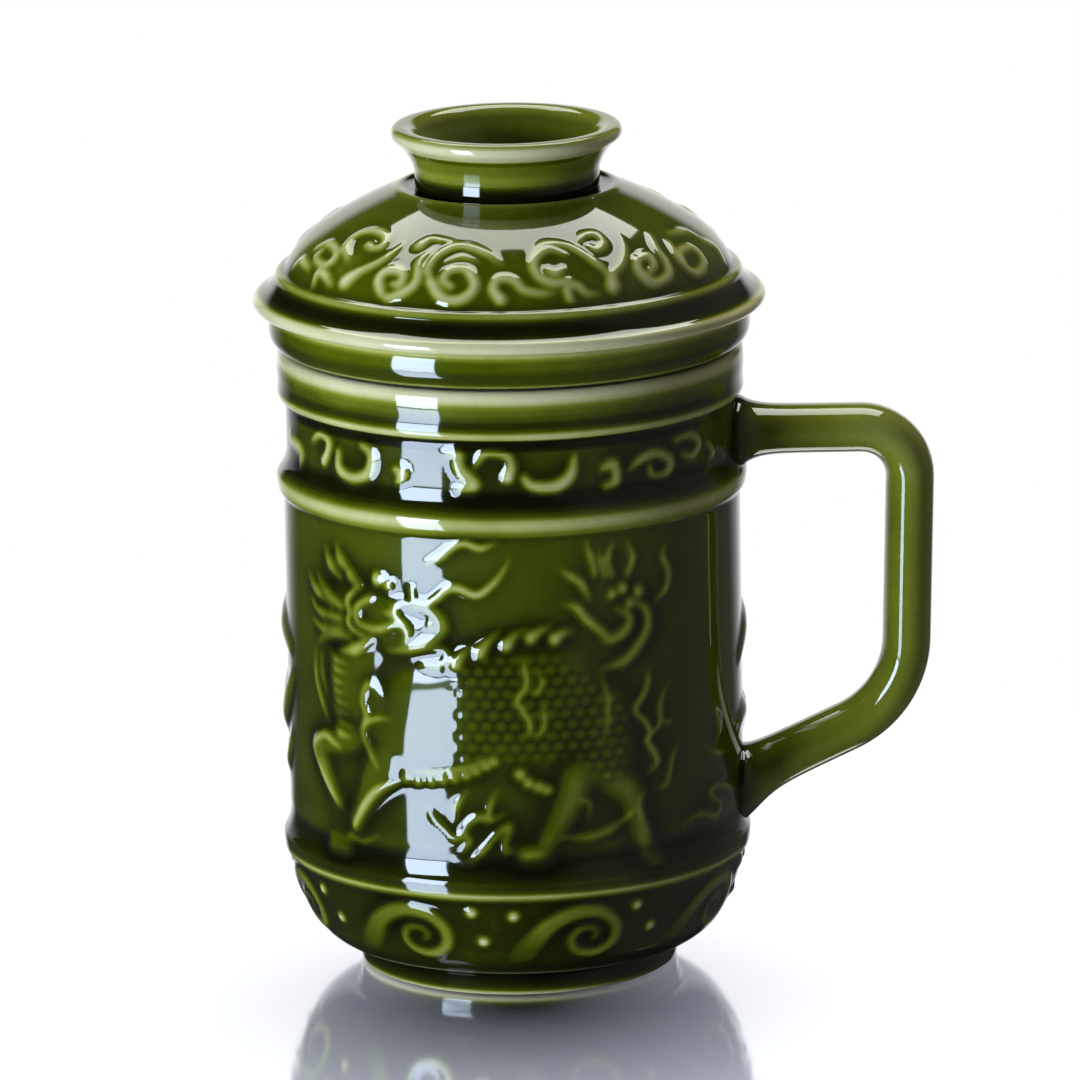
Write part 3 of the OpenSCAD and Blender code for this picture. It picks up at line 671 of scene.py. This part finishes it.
collarSet = {
    "columns": 256,
    "step": 0.55,       # rows, mm
    "outline": [(33.0, 109.2), (37.6, 109.2), (37.8, 109.95), (40.15, 110.0), (41.4, 112.22, 3.4),
                (41.05, 115.3, 8.5), (40.0, 116.4, 1.2), (38.8, 116.4), (38.3, 115.9, 0.5),
                (38.3, 112.1), (37.8, 111.6, -0.5), (33.8, 111.6), (33.0, 110.8, 0.8),
                (33.0, 109.2)],
    "glaze": {"base": 0.53, "hollows": [(1.2, 0.35, 0)],
              # the first band darkens the collar's foot in the slit above the lip: painted shade
              "depthAndShadeBands": [(109, 110.1, 36, 39.9, 0.1, 0.5), (110.0, 110.35, 40.0, 41, 0.3, -0.2),
                        (110.6, 112.8, 39, 42, 1.0, 0.2), (115.1, 117, 39, 42, 0.8, -0.25)]},
}

# lid

lidSet = {
    "columns": 560,
    "outside": [(37.1, 116.4), (43.25, 116.4), (44.15, 117.5, 1.5), (43.05, 118.6, 1.3),
                (40.15, 121.5, -6), (39.45, 122.8, 1.2), (38.35, 123.3, -2), (33.35, 129.3, 16),
                (19.5, 136.8, 70), (18.4, 137.2, 1.2), (16.8, 136.6, -3), (0, 136.6)],
    "inside": [(0, 133.8), (18.6, 133.8), (31.45, 126.48, -66.6), (37.1, 120.3, -12.6),
               (37.1, 116.4)],
    "step": 0.5,        # rows outside, mm
    "insideStep": 2,
    "glaze": {"base": 0.5, "hollows": [(0.9, 0.45, 0.6), (2.6, 0.25, 0.4)],
              "depthAndShadeBands": [(115.9, 118.5, 38, 45, 0.7, -0.5), (119.0, 121.3, 38, 45, 1.0, 0.36),
                        # on the next line, the last band darkens the ring where the knob stands on the
                        # dome: painted shade
                        (121.8, 123.0, 38, 45, 0.6, -0.06), (136, 137.1, 15, 18.4, 0.3, 0.45)]},
}

domeRelief = {
    "shift": (-0.4, 0.6),    # moves the whole ornament, degrees and mm
    "angles": (-90, 90),     # the carved stretch, degrees from the front
    "rises": (6.5, 27),      # and its distances up from the rim's edge, mm
    "style": {"widen": 1.15, "thin": 0.32},
    "smoothing": {"height": 1.5, "thin": 1.8},   # in cells of the net
    # each stroke is points as (degrees from the front, distance up from the rim's edge)
    "lines": [
        ([(-76.5, 9.6), (-74, 11.4), (-66, 10.8)], [0.4, 0.9, 0.5], [0.2, 0.5, 0.3]),
        ([(-71, 14.4), (-67.5, 16.4), (-59.5, 15.6), (-57.5, 13.2), (-62, 12.4), (-67, 13.2),
         (-66.5, 14.8)], [0.5, 0.9, 0.9, 0.9, 0.8, 0.7, 0.6], [0.3, 0.5, 0.5, 0.5, 0.45, 0.4, 0.4]),
        ([(-59.5, 8.2), (-60.5, 10.8), (-57, 10.8), (-52.5, 9.4)], [0.8, 0.9, 0.9, 0.6],
         [0.4, 0.5, 0.5, 0.3]),
        ([(-47.5, 10.6), (-44.5, 12.8), (-39, 16), (-36, 20.4)], [1.6, 0.9, 0.9, 0.4],
         [0.6, 0.5, 0.5, 0.2]),
        ([(-52, 14.8), (-57.5, 17), (-58.5, 20), (-53.5, 22), (-45.5, 21.4), (-43, 19), (-46, 18.2),
         (-49.5, 18.8)], [0.5, 0.9, 1, 1, 0.9, 0.9, 0.8, 0.7], [0.3, 0.5, 0.5, 0.5, 0.5, 0.5, 0.5, 0.5]),
        ([(-34, 9.4), (-36.5, 12), (-35, 14), (-30, 13.8), (-29.5, 11.4), (-32, 11.6)],
         [0.9, 1.1, 1.1, 1, 0.9, 0.7], [0.5, 0.55, 0.55, 0.55, 0.5, 0.4]),
        ([(-32, 8.8), (-28, 10), (-25, 12.6), (-26.5, 17), (-23, 20.6)], [1.1, 1, 0.9, 0.8, 0.4],
         [0.5, 0.5, 0.5, 0.4, 0.2]),
        ([(-29.5, 20.4), (-27, 22.2), (-21.5, 22), (-16, 21.8)], [1.3, 0.8, 0.7, 0.3],
         [0.55, 0.45, 0.4, 0.2]),
        ([(-21, 13), (-23, 15.4), (-21, 19), (-15, 21), (-6.5, 19.4), (-1, 16.4)],
         [0.7, 0.9, 1, 1, 0.9, 0.3], [0.4, 0.5, 0.55, 0.55, 0.45, 0.15]),
        ([(-21, 12.6), (-16.5, 9.6), (-11.5, 9.6), (-8.5, 12.2), (-11.5, 15.4), (-16, 15.2), (-17.5, 13.2),
         (-15, 11.8)], [1, 1.2, 1.2, 1.1, 1, 0.9, 0.9, 0.8], [0.55, 0.6, 0.6, 0.55, 0.55, 0.5, 0.5, 0.5]),
        ([(-18.5, 17), (-14, 18.4), (-8, 17.2)], [0.4, 0.6, 0.3], [0.2, 0.35, 0.15]),
        ([(-1.5, 9.6), (-3.5, 11.6), (-2, 13.6), (2, 13.2), (4.5, 11.4), (9, 10.6), (13.5, 10.6)],
         [1.2, 1, 0.9, 0.9, 0.8, 0.8, 0.3], [0.6, 0.55, 0.5, 0.5, 0.45, 0.4, 0.2]),
        ([(17, 12.6), (12, 12.4), (8.5, 14.4), (8.5, 17.6), (13.5, 19.8), (18.5, 18.4)],
         [0.9, 1, 1, 1, 0.9, 0.6], [0.4, 0.5, 0.5, 0.55, 0.5, 0.3]),
        ([(11.5, 15.2), (13.5, 14.2), (16, 15)], [0.6, 0.8, 0.6], [0.4, 0.5, 0.4]),
        ([(7.5, 18.8), (12.5, 21.2), (19.5, 20.6), (24, 18.2), (28, 14.4), (29, 12)],
         [0.4, 0.9, 0.9, 0.9, 0.9, 0.5], [0.2, 0.5, 0.5, 0.5, 0.45, 0.3]),
        ([(24.5, 20.6), (27.5, 22.4), (32.5, 22.4), (33, 20), (29, 18.6), (27.5, 19.8)],
         [0.5, 0.9, 1, 0.9, 0.9, 0.7], [0.3, 0.5, 0.5, 0.5, 0.5, 0.4]),
        ([(16.5, 9.2), (16, 11), (19, 11.6), (21, 10), (25, 9.6)], [0.9, 0.8, 0.8, 0.7, 0.3],
         [0.5, 0.45, 0.45, 0.4, 0.2]),
        ([(29, 10.6), (30, 12.8), (34.5, 14.8), (39, 18), (42, 21.6)], [1.5, 0.8, 0.8, 0.7, 0.3],
         [0.6, 0.45, 0.4, 0.35, 0.15]),
        ([(40, 15.2), (38.5, 12.6), (41.5, 10), (47.5, 10.8), (49.5, 13.4), (50.5, 16.8), (54.5, 20)],
         [0.9, 1.1, 1.1, 1, 0.9, 0.8, 0.4], [0.5, 0.55, 0.55, 0.55, 0.5, 0.4, 0.2]),
        ([(39.5, 14.6), (45, 15.6), (44.5, 13.2), (41.5, 12)], [0.6, 0.9, 0.9, 0.7], [0.4, 0.5, 0.5, 0.4]),
        ([(62, 18.8), (72, 17.6), (74.5, 15.6)], [0.4, 0.8, 0.4], [0.2, 0.4, 0.2]),
        ([(58, 17.4), (55, 13), (58, 9.8), (65, 11), (65, 14.4), (58, 14.4), (56.5, 12.6)],
         [0.5, 0.9, 1, 1, 0.9, 0.8, 0.7], [0.3, 0.5, 0.5, 0.5, 0.5, 0.45, 0.45]),
        ([(75, 14.4), (79, 12), (77.5, 9.4)], [0.5, 0.8, 0.5], [0.25, 0.4, 0.25]),
    ],
}

# knob

knobSet = {
    "columns": 200,
    "step": 0.55,
    "outline": [(12.9, 136.6), (15.9, 136.6), (15.9, 139.9), (19.45, 145.3, -9),
                (19.85, 146.3, 1.2), (18.95, 147.5, 1.3), (17.65, 147.5), (15.15, 145.3, 3),
                (12.9, 139.3, 12), (12.9, 136.6)],
    "glaze": {"base": 0.5, "hollows": [(1.0, 0.4, 0)],
              # on the next line, the second band darkens the neck's foot under the flared rim: painted
              # shade
              "depthAndShadeBands": [(143.9, 146.9, 18.3, 21, 0.6, -0.45), (136, 138.9, 15, 17, 1.2, 0.5),
                        (139.4, 141.2, 15, 17, 1.2, -0.12),
                        # on the next line, the second band makes the knob's inner wall darker towards the
                        # bottom of its cup
                        (139.5, 148, 12, 17.6, 2.5, -0.1), (136, 138.5, 12, 14, 1.5, 0.4)]},
}


def buildRing(name, settings):
    # a ring with a closed section: the collar or the knob
    outline = evenRows(tracePath(settings["outline"]), settings["step"])[:-1]
    angles = columnAngles(settings["columns"], 0)
    plain = np.zeros((len(outline), len(angles)))
    piece, rows, cols = spunMesh(name, outline, len(angles), closed=True)
    shapeSkin(piece, rows, cols, outline, True, angles, plain, plain, settings["glaze"])
    return piece


def carveDome(path, rim):
    d = domeRelief
    relief = newRelief(path, *d["angles"], *(rim + rise for rise in d["rises"]))
    turn, lift = d["shift"]
    for points, halves, heights in d["lines"]:
        placed = [(a + turn, rim + rise + lift) for a, rise in points]
        raiseStroke(relief, (placed, halves, heights), "height", **d["style"])
    for layer, sigma in d["smoothing"].items():
        soften(relief, layer, sigma)
    return relief


def buildLid():
    path = tracePath(lidSet["outside"])
    inside = evenRows(tracePath(lidSet["inside"]), lidSet["insideStep"])
    outside = evenRows(path, lidSet["step"])
    inside[0, 0] = outside[-1, 0] = 0
    outline = joinPaths(inside, outside)
    angles = columnAngles(lidSet["columns"], 0)
    height, thin = (np.zeros((len(outline), len(angles))) for i in range(2))
    rim = pathLengths(path)[path[:, 0].argmax()]
    relief = carveDome(path, rim)
    # the back half repeats the front half, turned half way round
    turned = np.where(abs(angles) > math.pi / 2, angles - np.sign(angles) * math.pi, angles)
    wall = slice(len(inside) - 1, len(outline))
    rises = pathLengths(outside)
    height[wall] = takeUp(relief, "height", rises, turned)
    thin[wall] = takeUp(relief, "thin", rises, turned)
    piece, rows, cols = spunMesh("lid_skin", outline, len(angles))
    shapeSkin(piece, rows, cols, outline, False, angles, height, thin, lidSet["glaze"])
    return piece


# handle

handleSet = {
    "sides": 44,
    "thick": 8.4,       # in the handle's own plane, mm
    "wide": 12.0,       # across it
    "wallR": 39.4,
    "upperZ": 93.2,     # height of the upper arm's centre line
    "lowerZ": 31.4,     # height at which the lower arm's centre line meets the wall
    "slope": 25,        # of the lower arm, degrees
    "reach": 69,        # from the mug's axis to the grip, at the upper arm
    "lean": 1.5,        # of the grip, degrees
    "bends": (8.5, 18),     # radii of the upper corner and of the elbow, mm
    "bendStep": 0.4,    # of the traced centre line, mm
    "step": 1.1,        # between sections, mm
    "sunk": 2,          # how far the ends reach into the wall, mm
    # how much each root spreads where it meets the wall: above and below the arm, to each side
    "upperSpread": (1.8, 2.6),
    "lowerSpread": (3.9, 1.5),
    "flankSpread": 2.4,
    "fade": 2.2,        # distance over which a root fades into its arm, mm
    "gripGlaze": 0.345,
    "rootGlaze": 0.36,  # added at the roots
    "loopPaintedShade": 0.1,   # painted shade, added on the side towards the fingers
}


def rootShare(x):
    # 1 at the wall, fading to 0 along the arm
    return math.exp(-max(0, x - handleSet["wallR"]) / handleSet["fade"])


def handleLine():
    # the centre line from the upper root to the lower one, both a little inside the wall
    s = handleSet
    slope, lean = math.radians(s["slope"]), math.radians(s["lean"])
    start = s["wallR"] - s["sunk"]
    upper, corner = Vector((start, s["upperZ"])), Vector((s["reach"], s["upperZ"]))
    lower = Vector((start, s["lowerZ"] - s["sunk"] * math.tan(slope)))
    arm = Vector((math.cos(slope), math.sin(slope)))
    grip = Vector((-math.sin(lean), -math.cos(lean)))
    elbow = lower + arm * (corner - lower).cross(grip) / arm.cross(grip)
    line = [tuple(upper)]
    for a, b, c, radius in zip((upper, corner), (corner, elbow), (elbow, lower), s["bends"]):
        u, v = (a - b).normalized(), (c - b).normalized()
        cut = radius / math.tan(u.angle(v) / 2)
        line += [tuple(b + u * cut), tuple(b + v * cut) + (-radius,)]
    return tracePath(line + [tuple(lower)], s["bendStep"])


def handleSection(path, ahead, i):
    # the points round the handle at one station of its path
    s = handleSet
    x, z = path[i]
    upper = i < len(path) / 2
    spread = s["upperSpread"] if upper else s["lowerSpread"]
    near = rootShare(x)
    across = Vector((-ahead[i][1], ahead[i][0])).normalized()
    across = (across * (1 - near) + Vector((0, near if upper else -near))).normalized()
    points = []
    for k in range(s["sides"]):
        angle = 2 * math.pi * k / s["sides"]
        up, side = math.sin(angle), math.cos(angle)
        reach = (s["thick"] / 2 + near * spread[0 if up > 0 else 1]) * up
        flank = (s["wide"] / 2 + near * s["flankSpread"]) * side
        points.append(Vector((x + across.x * reach, flank, z + across.y * reach)) * mm)
    return points


def buildHandle():
    s = handleSet
    path = evenRows(handleLine(), s["step"])
    ahead = np.gradient(path, axis=0)
    bm = bmesh.new()
    ring = bmesh.ops.create_circle(bm, segments=s["sides"], radius=1)["verts"]
    edges = bm.edges[:]
    ends = [edges]
    for i in range(len(path)):
        if i:
            grown = bmesh.ops.extrude_edge_only(bm, edges=edges)["geom"]
            ring = [g for g in grown if isinstance(g, bmesh.types.BMVert)]
            members = set(ring)
            edges = [g for g in grown if isinstance(g, bmesh.types.BMEdge)
                     and g.verts[0] in members and g.verts[1] in members]
        for vert, place in zip(ring, handleSection(path, ahead, i)):
            vert.co = place
    ends.append(edges)
    for end in ends:
        bmesh.ops.contextual_create(bm, geom=end)
    bmesh.ops.recalc_face_normals(bm, faces=bm.faces[:])
    for face in bm.faces:
        face.smooth = len(face.verts) == 4
    piece = meshObject("handle_skin", bm)
    layer = piece.data.attributes.new("glaze", "FLOAT", "POINT")
    for i, place in enumerate(path):
        for k in range(s["sides"]):
            # the side towards the fingers gets deeper glaze, which paints the shade inside the loop
            inward = max(0, -math.sin(2 * math.pi * k / s["sides"]))
            depth = s["gripGlaze"] + s["rootGlaze"] * rootShare(place[0]) + s["loopPaintedShade"] * inward
            layer.data[i * s["sides"] + k].value = depth
    return piece


# materials

glazeSet = {
    "stops": [(0.0, "#efe7b0"), (0.16, "#c3c272"), (0.34, "#8d932a"), (0.52, "#525c03"),
              (0.74, "#2f3402"), (1.0, "#111301")],
    "ior": 1.65,
    "roughness": 0.05,
    "cloudMm": 20,      # soft clouds of thicker and thinner glaze
    "cloudGain": 0.24,
    "speckMm": 1.6,     # fine unevenness
    "speckGain": 0.05,
    "waveMm": 8,        # slow waves in the fired glass
    "waveHeightMm": 0.02,
}
paleSet = {
    "stops": [(0.0, "#eef0e2"), (0.5, "#dde3cc"), (1.0, "#b9c69c")],
    "depth": 0.5,       # the glaze lies evenly thick
}


def glazedPorcelain(name, stops, evenDepth=None):
    # porcelain under a fired coloured glass: pale where the glass runs thin over edges,
    # dark where it pools and where the skins' bands paint shade, with a sharp wet gloss that waves a little
    g = glazeSet
    material, tree = newMaterial(name)
    out = addNode(tree, "ShaderNodeOutputMaterial")
    place = addNode(tree, "ShaderNodeTexCoord").outputs["Object"]
    noises = {}
    for key, detail in (("cloud", 2.0), ("speck", 1.0), ("wave", 1.0)):
        noises[key] = addNode(tree, "ShaderNodeTexNoise",
                              {"Scale": 1000 / g[key + "Mm"], "Detail": detail}, {"Vector": place})
    uneven = {}
    for key in ("cloud", "speck"):
        gain = g[key + "Gain"]
        uneven[key] = addNode(tree, "ShaderNodeMath",
                              {"operation": "MULTIPLY_ADD", 1: gain, 2: -gain / 2},
                              {0: noises[key].outputs["Fac"]})
    total = addNode(tree, "ShaderNodeMath", {"operation": "ADD"},
                    {0: uneven["cloud"].outputs[0], 1: uneven["speck"].outputs[0]})
    if evenDepth is None:
        depth = addNode(tree, "ShaderNodeAttribute", {"attribute_name": "glaze"})
        total = addNode(tree, "ShaderNodeMath", {"operation": "ADD"},
                        {0: depth.outputs["Fac"], 1: total.outputs[0]})
    else:
        total = addNode(tree, "ShaderNodeMath", {"operation": "ADD", 1: evenDepth},
                        {0: total.outputs[0]})
    ramp = addNode(tree, "ShaderNodeValToRGB", None, {"Fac": total.outputs[0]})
    setRamp(ramp, stops)
    bump = addNode(tree, "ShaderNodeBump", {"Strength": 1.0, "Distance": g["waveHeightMm"] * mm},
                   {"Height": noises["wave"].outputs["Fac"]})
    shader = addNode(tree, "ShaderNodeBsdfPrincipled", {"Roughness": g["roughness"], "IOR": g["ior"]},
                     {"Base Color": ramp.outputs["Color"], "Normal": bump.outputs["Normal"]})
    tree.links.new(shader.outputs["BSDF"], out.inputs["Surface"])
    return material


greenGlaze = glazedPorcelain("bottleGreenGlazedPorcelain", glazeSet["stops"])
paleGlaze = glazedPorcelain("paleGlazedPorcelain", paleSet["stops"], paleSet["depth"])


# assembly

def fit(piece, node, body, material):
    piece.data.materials.clear()
    piece.data.materials.append(material)
    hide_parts(node)
    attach(piece, body)
    print(piece.name, "fitted on the", body)


fit(buildMugBody(), "mug_body", "mug", greenGlaze)
fit(buildHandle(), "mug_handle", "mug", greenGlaze)
fit(buildRing("collar_skin", collarSet), "infuser_collar", "infuser", greenGlaze)
fit(buildLid(), "lid_dome", "lid", greenGlaze)
fit(buildRing("knob_skin", knobSet), "lid_knob", "lid", greenGlaze)
for node in ("infuser_basket", "infuser_strainer", "lid_locating_ring"):
    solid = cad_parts[node]
    solid.data.materials.clear()
    solid.data.materials.append(paleGlaze)
    print(node, "glazed")


# studio

studioSet = {
    "floorR": 3.0,
    "floorSides": 96,
    "floorZ": -0.0002,    # just under the foot, m
    "sheetColour": "#5c6272",
    "gloss": 0.68,
    "roughness": 0.09,
    # the sheet's glow is painted light that makes it pale without a lamp
    "glowColour": "#e4e9fc",
    "glow": 0.475,
    "paintedShadowCentre": (0, -0.03, 0),
    "paintedShadowRange": (0.004, 0.064),   # the glow grows from there to here around its centre, leaving a painted shadow in front of the foot, m
    "plainRange": (0.1, 0.2),      # the sheet turns plain white at these distances, m
    # how far back a direction points, 0 to 1, where the floor and the wall turn white for
    # glossy surfaces and for all rays but the camera's
    "floorBehind": (0.68, 1.05),
    "wallBehind": (0.88, 0.95),
    "room": "#1c1f25",
    "sideGlow": 0.13,     # soft light that the room gives from the handle's side
    "sideRange": (0.25, 0.7),
    "sideColour": "#f4efd8",
}
lightSet = {
    "strip": {"radiance": 17.0, "width": 0.185, "height": 0.234, "azimuth": -45, "distance": 0.5,
              "centreZ": 0.123, "aimZ": 0.123, "colour": "#d4e6ff"},
    "overhead": {"radiance": 5.2, "width": 0.7, "height": 0.42, "azimuth": 180, "distance": 0.36,
                 "centreZ": 0.77, "aimZ": 0.13, "colour": "#f4f8ee"},
}


def addSoftbox(name, s):
    # azimuth 0 is straight in front of the mug, positive towards the handle
    turn = math.radians(s["azimuth"])
    place = Vector((math.sin(turn) * s["distance"], -math.cos(turn) * s["distance"], s["centreZ"]))
    lamp = bpy.data.lights.new(name, "AREA")
    lamp.shape = "RECTANGLE"
    lamp.size, lamp.size_y = s["width"], s["height"]
    lamp.energy = s["radiance"] * math.pi * s["width"] * s["height"]
    lamp.color = linearColour(s["colour"])[:3]
    lampObject = bpy.data.objects.new(name, lamp)
    lampObject.location = place
    aim = Vector((0, 0, s["aimZ"])) - place
    lampObject.rotation_euler = aim.to_track_quat("-Z", "Y").to_euler()
    lampObject.visible_camera = False
    bpy.context.scene.collection.objects.link(lampObject)


for name, settings in lightSet.items():
    addSoftbox(name, settings)


def buildFloor():
    s = studioSet
    bm = bmesh.new()
    bmesh.ops.create_circle(bm, cap_ends=True, segments=s["floorSides"], radius=s["floorR"],
                            matrix=Matrix.Translation((0, 0, s["floorZ"])))
    floor = meshObject("floor", bm)
    # acrylic sheet: a slate body under a blurred mirror gloss, made pale by a painted glow that fades near
    # a spot in front of the foot, a painted shadow over the mug's real one, and plain white farther out
    material, tree = newMaterial("acrylicPaintedGlowAndShadow")
    place = addNode(tree, "ShaderNodeTexCoord").outputs["Object"]
    aside = addNode(tree, "ShaderNodeVectorMath", {"operation": "NORMALIZE"}, {0: place})
    parts = addNode(tree, "ShaderNodeSeparateXYZ", None, {0: aside.outputs[0]})
    distance = addNode(tree, "ShaderNodeVectorMath", {"operation": "LENGTH"}, {0: place})
    shadow = addNode(tree, "ShaderNodeVectorMath", {"operation": "DISTANCE", 1: s["paintedShadowCentre"]},
                     {0: place})
    ranges = {"plainRange": ("LINEAR", distance.outputs["Value"]),
              "paintedShadowRange": ("LINEAR", shadow.outputs["Value"]),
              "floorBehind": ("SMOOTHSTEP", parts.outputs["Y"])}
    shares = {}
    for key, (easing, value) in ranges.items():
        low, high = s[key]
        shares[key] = addNode(tree, "ShaderNodeMapRange",
                              {"interpolation_type": easing, "From Min": low, "From Max": high},
                              {"Value": value}).outputs["Result"]
    path = addNode(tree, "ShaderNodeLightPath")
    seen = addNode(tree, "ShaderNodeMath", {"operation": "MULTIPLY_ADD", "use_clamp": True},
                   {0: path.outputs["Is Glossy Ray"], 1: shares["floorBehind"],
                    2: path.outputs["Is Camera Ray"]})
    body = addNode(tree, "ShaderNodeBsdfDiffuse", {"Color": linearColour(s["sheetColour"])})
    gloss = addNode(tree, "ShaderNodeBsdfGlossy", {"Color": (1, 1, 1, 1), "Roughness": s["roughness"]})
    sheet = addNode(tree, "ShaderNodeMixShader", {0: s["gloss"]},
                    {1: body.outputs[0], 2: gloss.outputs[0]})
    # the glow fades out near the spot in front of the foot, which paints the mug's shadow
    strength = addNode(tree, "ShaderNodeMath", {"operation": "MULTIPLY", 1: s["glow"]},
                       {0: shares["paintedShadowRange"]})
    strength = addNode(tree, "ShaderNodeMath", {"operation": "MULTIPLY"},
                       {0: strength.outputs[0], 1: seen.outputs[0]})
    lit = addNode(tree, "ShaderNodeEmission", {"Color": linearColour(s["glowColour"])},
                  {"Strength": strength.outputs[0]})
    near = addNode(tree, "ShaderNodeAddShader", None, {0: sheet.outputs[0], 1: lit.outputs[0]})
    plain = addNode(tree, "ShaderNodeEmission", {"Strength": 1.0})
    lookedAt = addNode(tree, "ShaderNodeMath", {"operation": "MULTIPLY"},
                       {0: seen.outputs[0], 1: shares["plainRange"]})
    mix = addNode(tree, "ShaderNodeMixShader", None,
                  {0: lookedAt.outputs[0], 1: near.outputs[0], 2: plain.outputs[0]})
    addNode(tree, "ShaderNodeOutputMaterial", None, {"Surface": mix.outputs[0]})
    floor.data.materials.append(material)


buildFloor()


def buildWorld():
    s = studioSet
    world = bpy.data.worlds.new("studio")
    bpy.context.scene.world = world
    world.use_nodes = True
    tree = world.node_tree
    tree.nodes.clear()
    direction = addNode(tree, "ShaderNodeTexCoord").outputs["Generated"]
    parts = addNode(tree, "ShaderNodeSeparateXYZ", None, {0: direction})
    shares = {}
    for key, axis, most in (("wallBehind", "Y", 1.0), ("sideRange", "X", s["sideGlow"])):
        low, high = s[key]
        shares[key] = addNode(tree, "ShaderNodeMapRange",
                              {"interpolation_type": "SMOOTHSTEP", "From Min": low, "From Max": high,
                               "To Max": most}, {"Value": parts.outputs[axis]}).outputs["Result"]
    sides = addNode(tree, "ShaderNodeMix",
                    {"data_type": "RGBA", 6: linearColour(s["room"]), 7: linearColour(s["sideColour"])},
                    {0: shares["sideRange"]})
    room = addNode(tree, "ShaderNodeMix", {"data_type": "RGBA", 7: (1, 1, 1, 1)},
                   {0: shares["wallBehind"], 6: sides.outputs[2]})
    path = addNode(tree, "ShaderNodeLightPath")
    seen = addNode(tree, "ShaderNodeMix", {"data_type": "RGBA", 7: (1, 1, 1, 1)},
                   {0: path.outputs["Is Camera Ray"], 6: room.outputs[2]})
    background = addNode(tree, "ShaderNodeBackground", {"Strength": 1.0},
                         {"Color": seen.outputs[2]})
    addNode(tree, "ShaderNodeOutputWorld", None, {"Surface": background.outputs[0]})


buildWorld()

cameraSet = {
    "place": (0.00467, -1.624, 0.47106),
    "down": 13.74,       # degrees below level
    "roll": 0.9,
    "lens": 322,
    "sensor": 36,
    "clip": (0.1, 30),
}


def buildCamera():
    data = bpy.data.cameras.new("camera")
    data.lens, data.sensor_width = cameraSet["lens"], cameraSet["sensor"]
    data.clip_start, data.clip_end = cameraSet["clip"]
    camera = bpy.data.objects.new("camera", data)
    tilt = math.radians(90 - cameraSet["down"])
    camera.matrix_world = (Matrix.Translation(cameraSet["place"]) @ Matrix.Rotation(tilt, 4, "X")
                           @ Matrix.Rotation(math.radians(-cameraSet["roll"]), 4, "Z"))
    bpy.context.scene.collection.objects.link(camera)
    bpy.context.scene.camera = camera


buildCamera()
bpy.context.scene.view_settings.view_transform = "Standard"
print("studio ready")
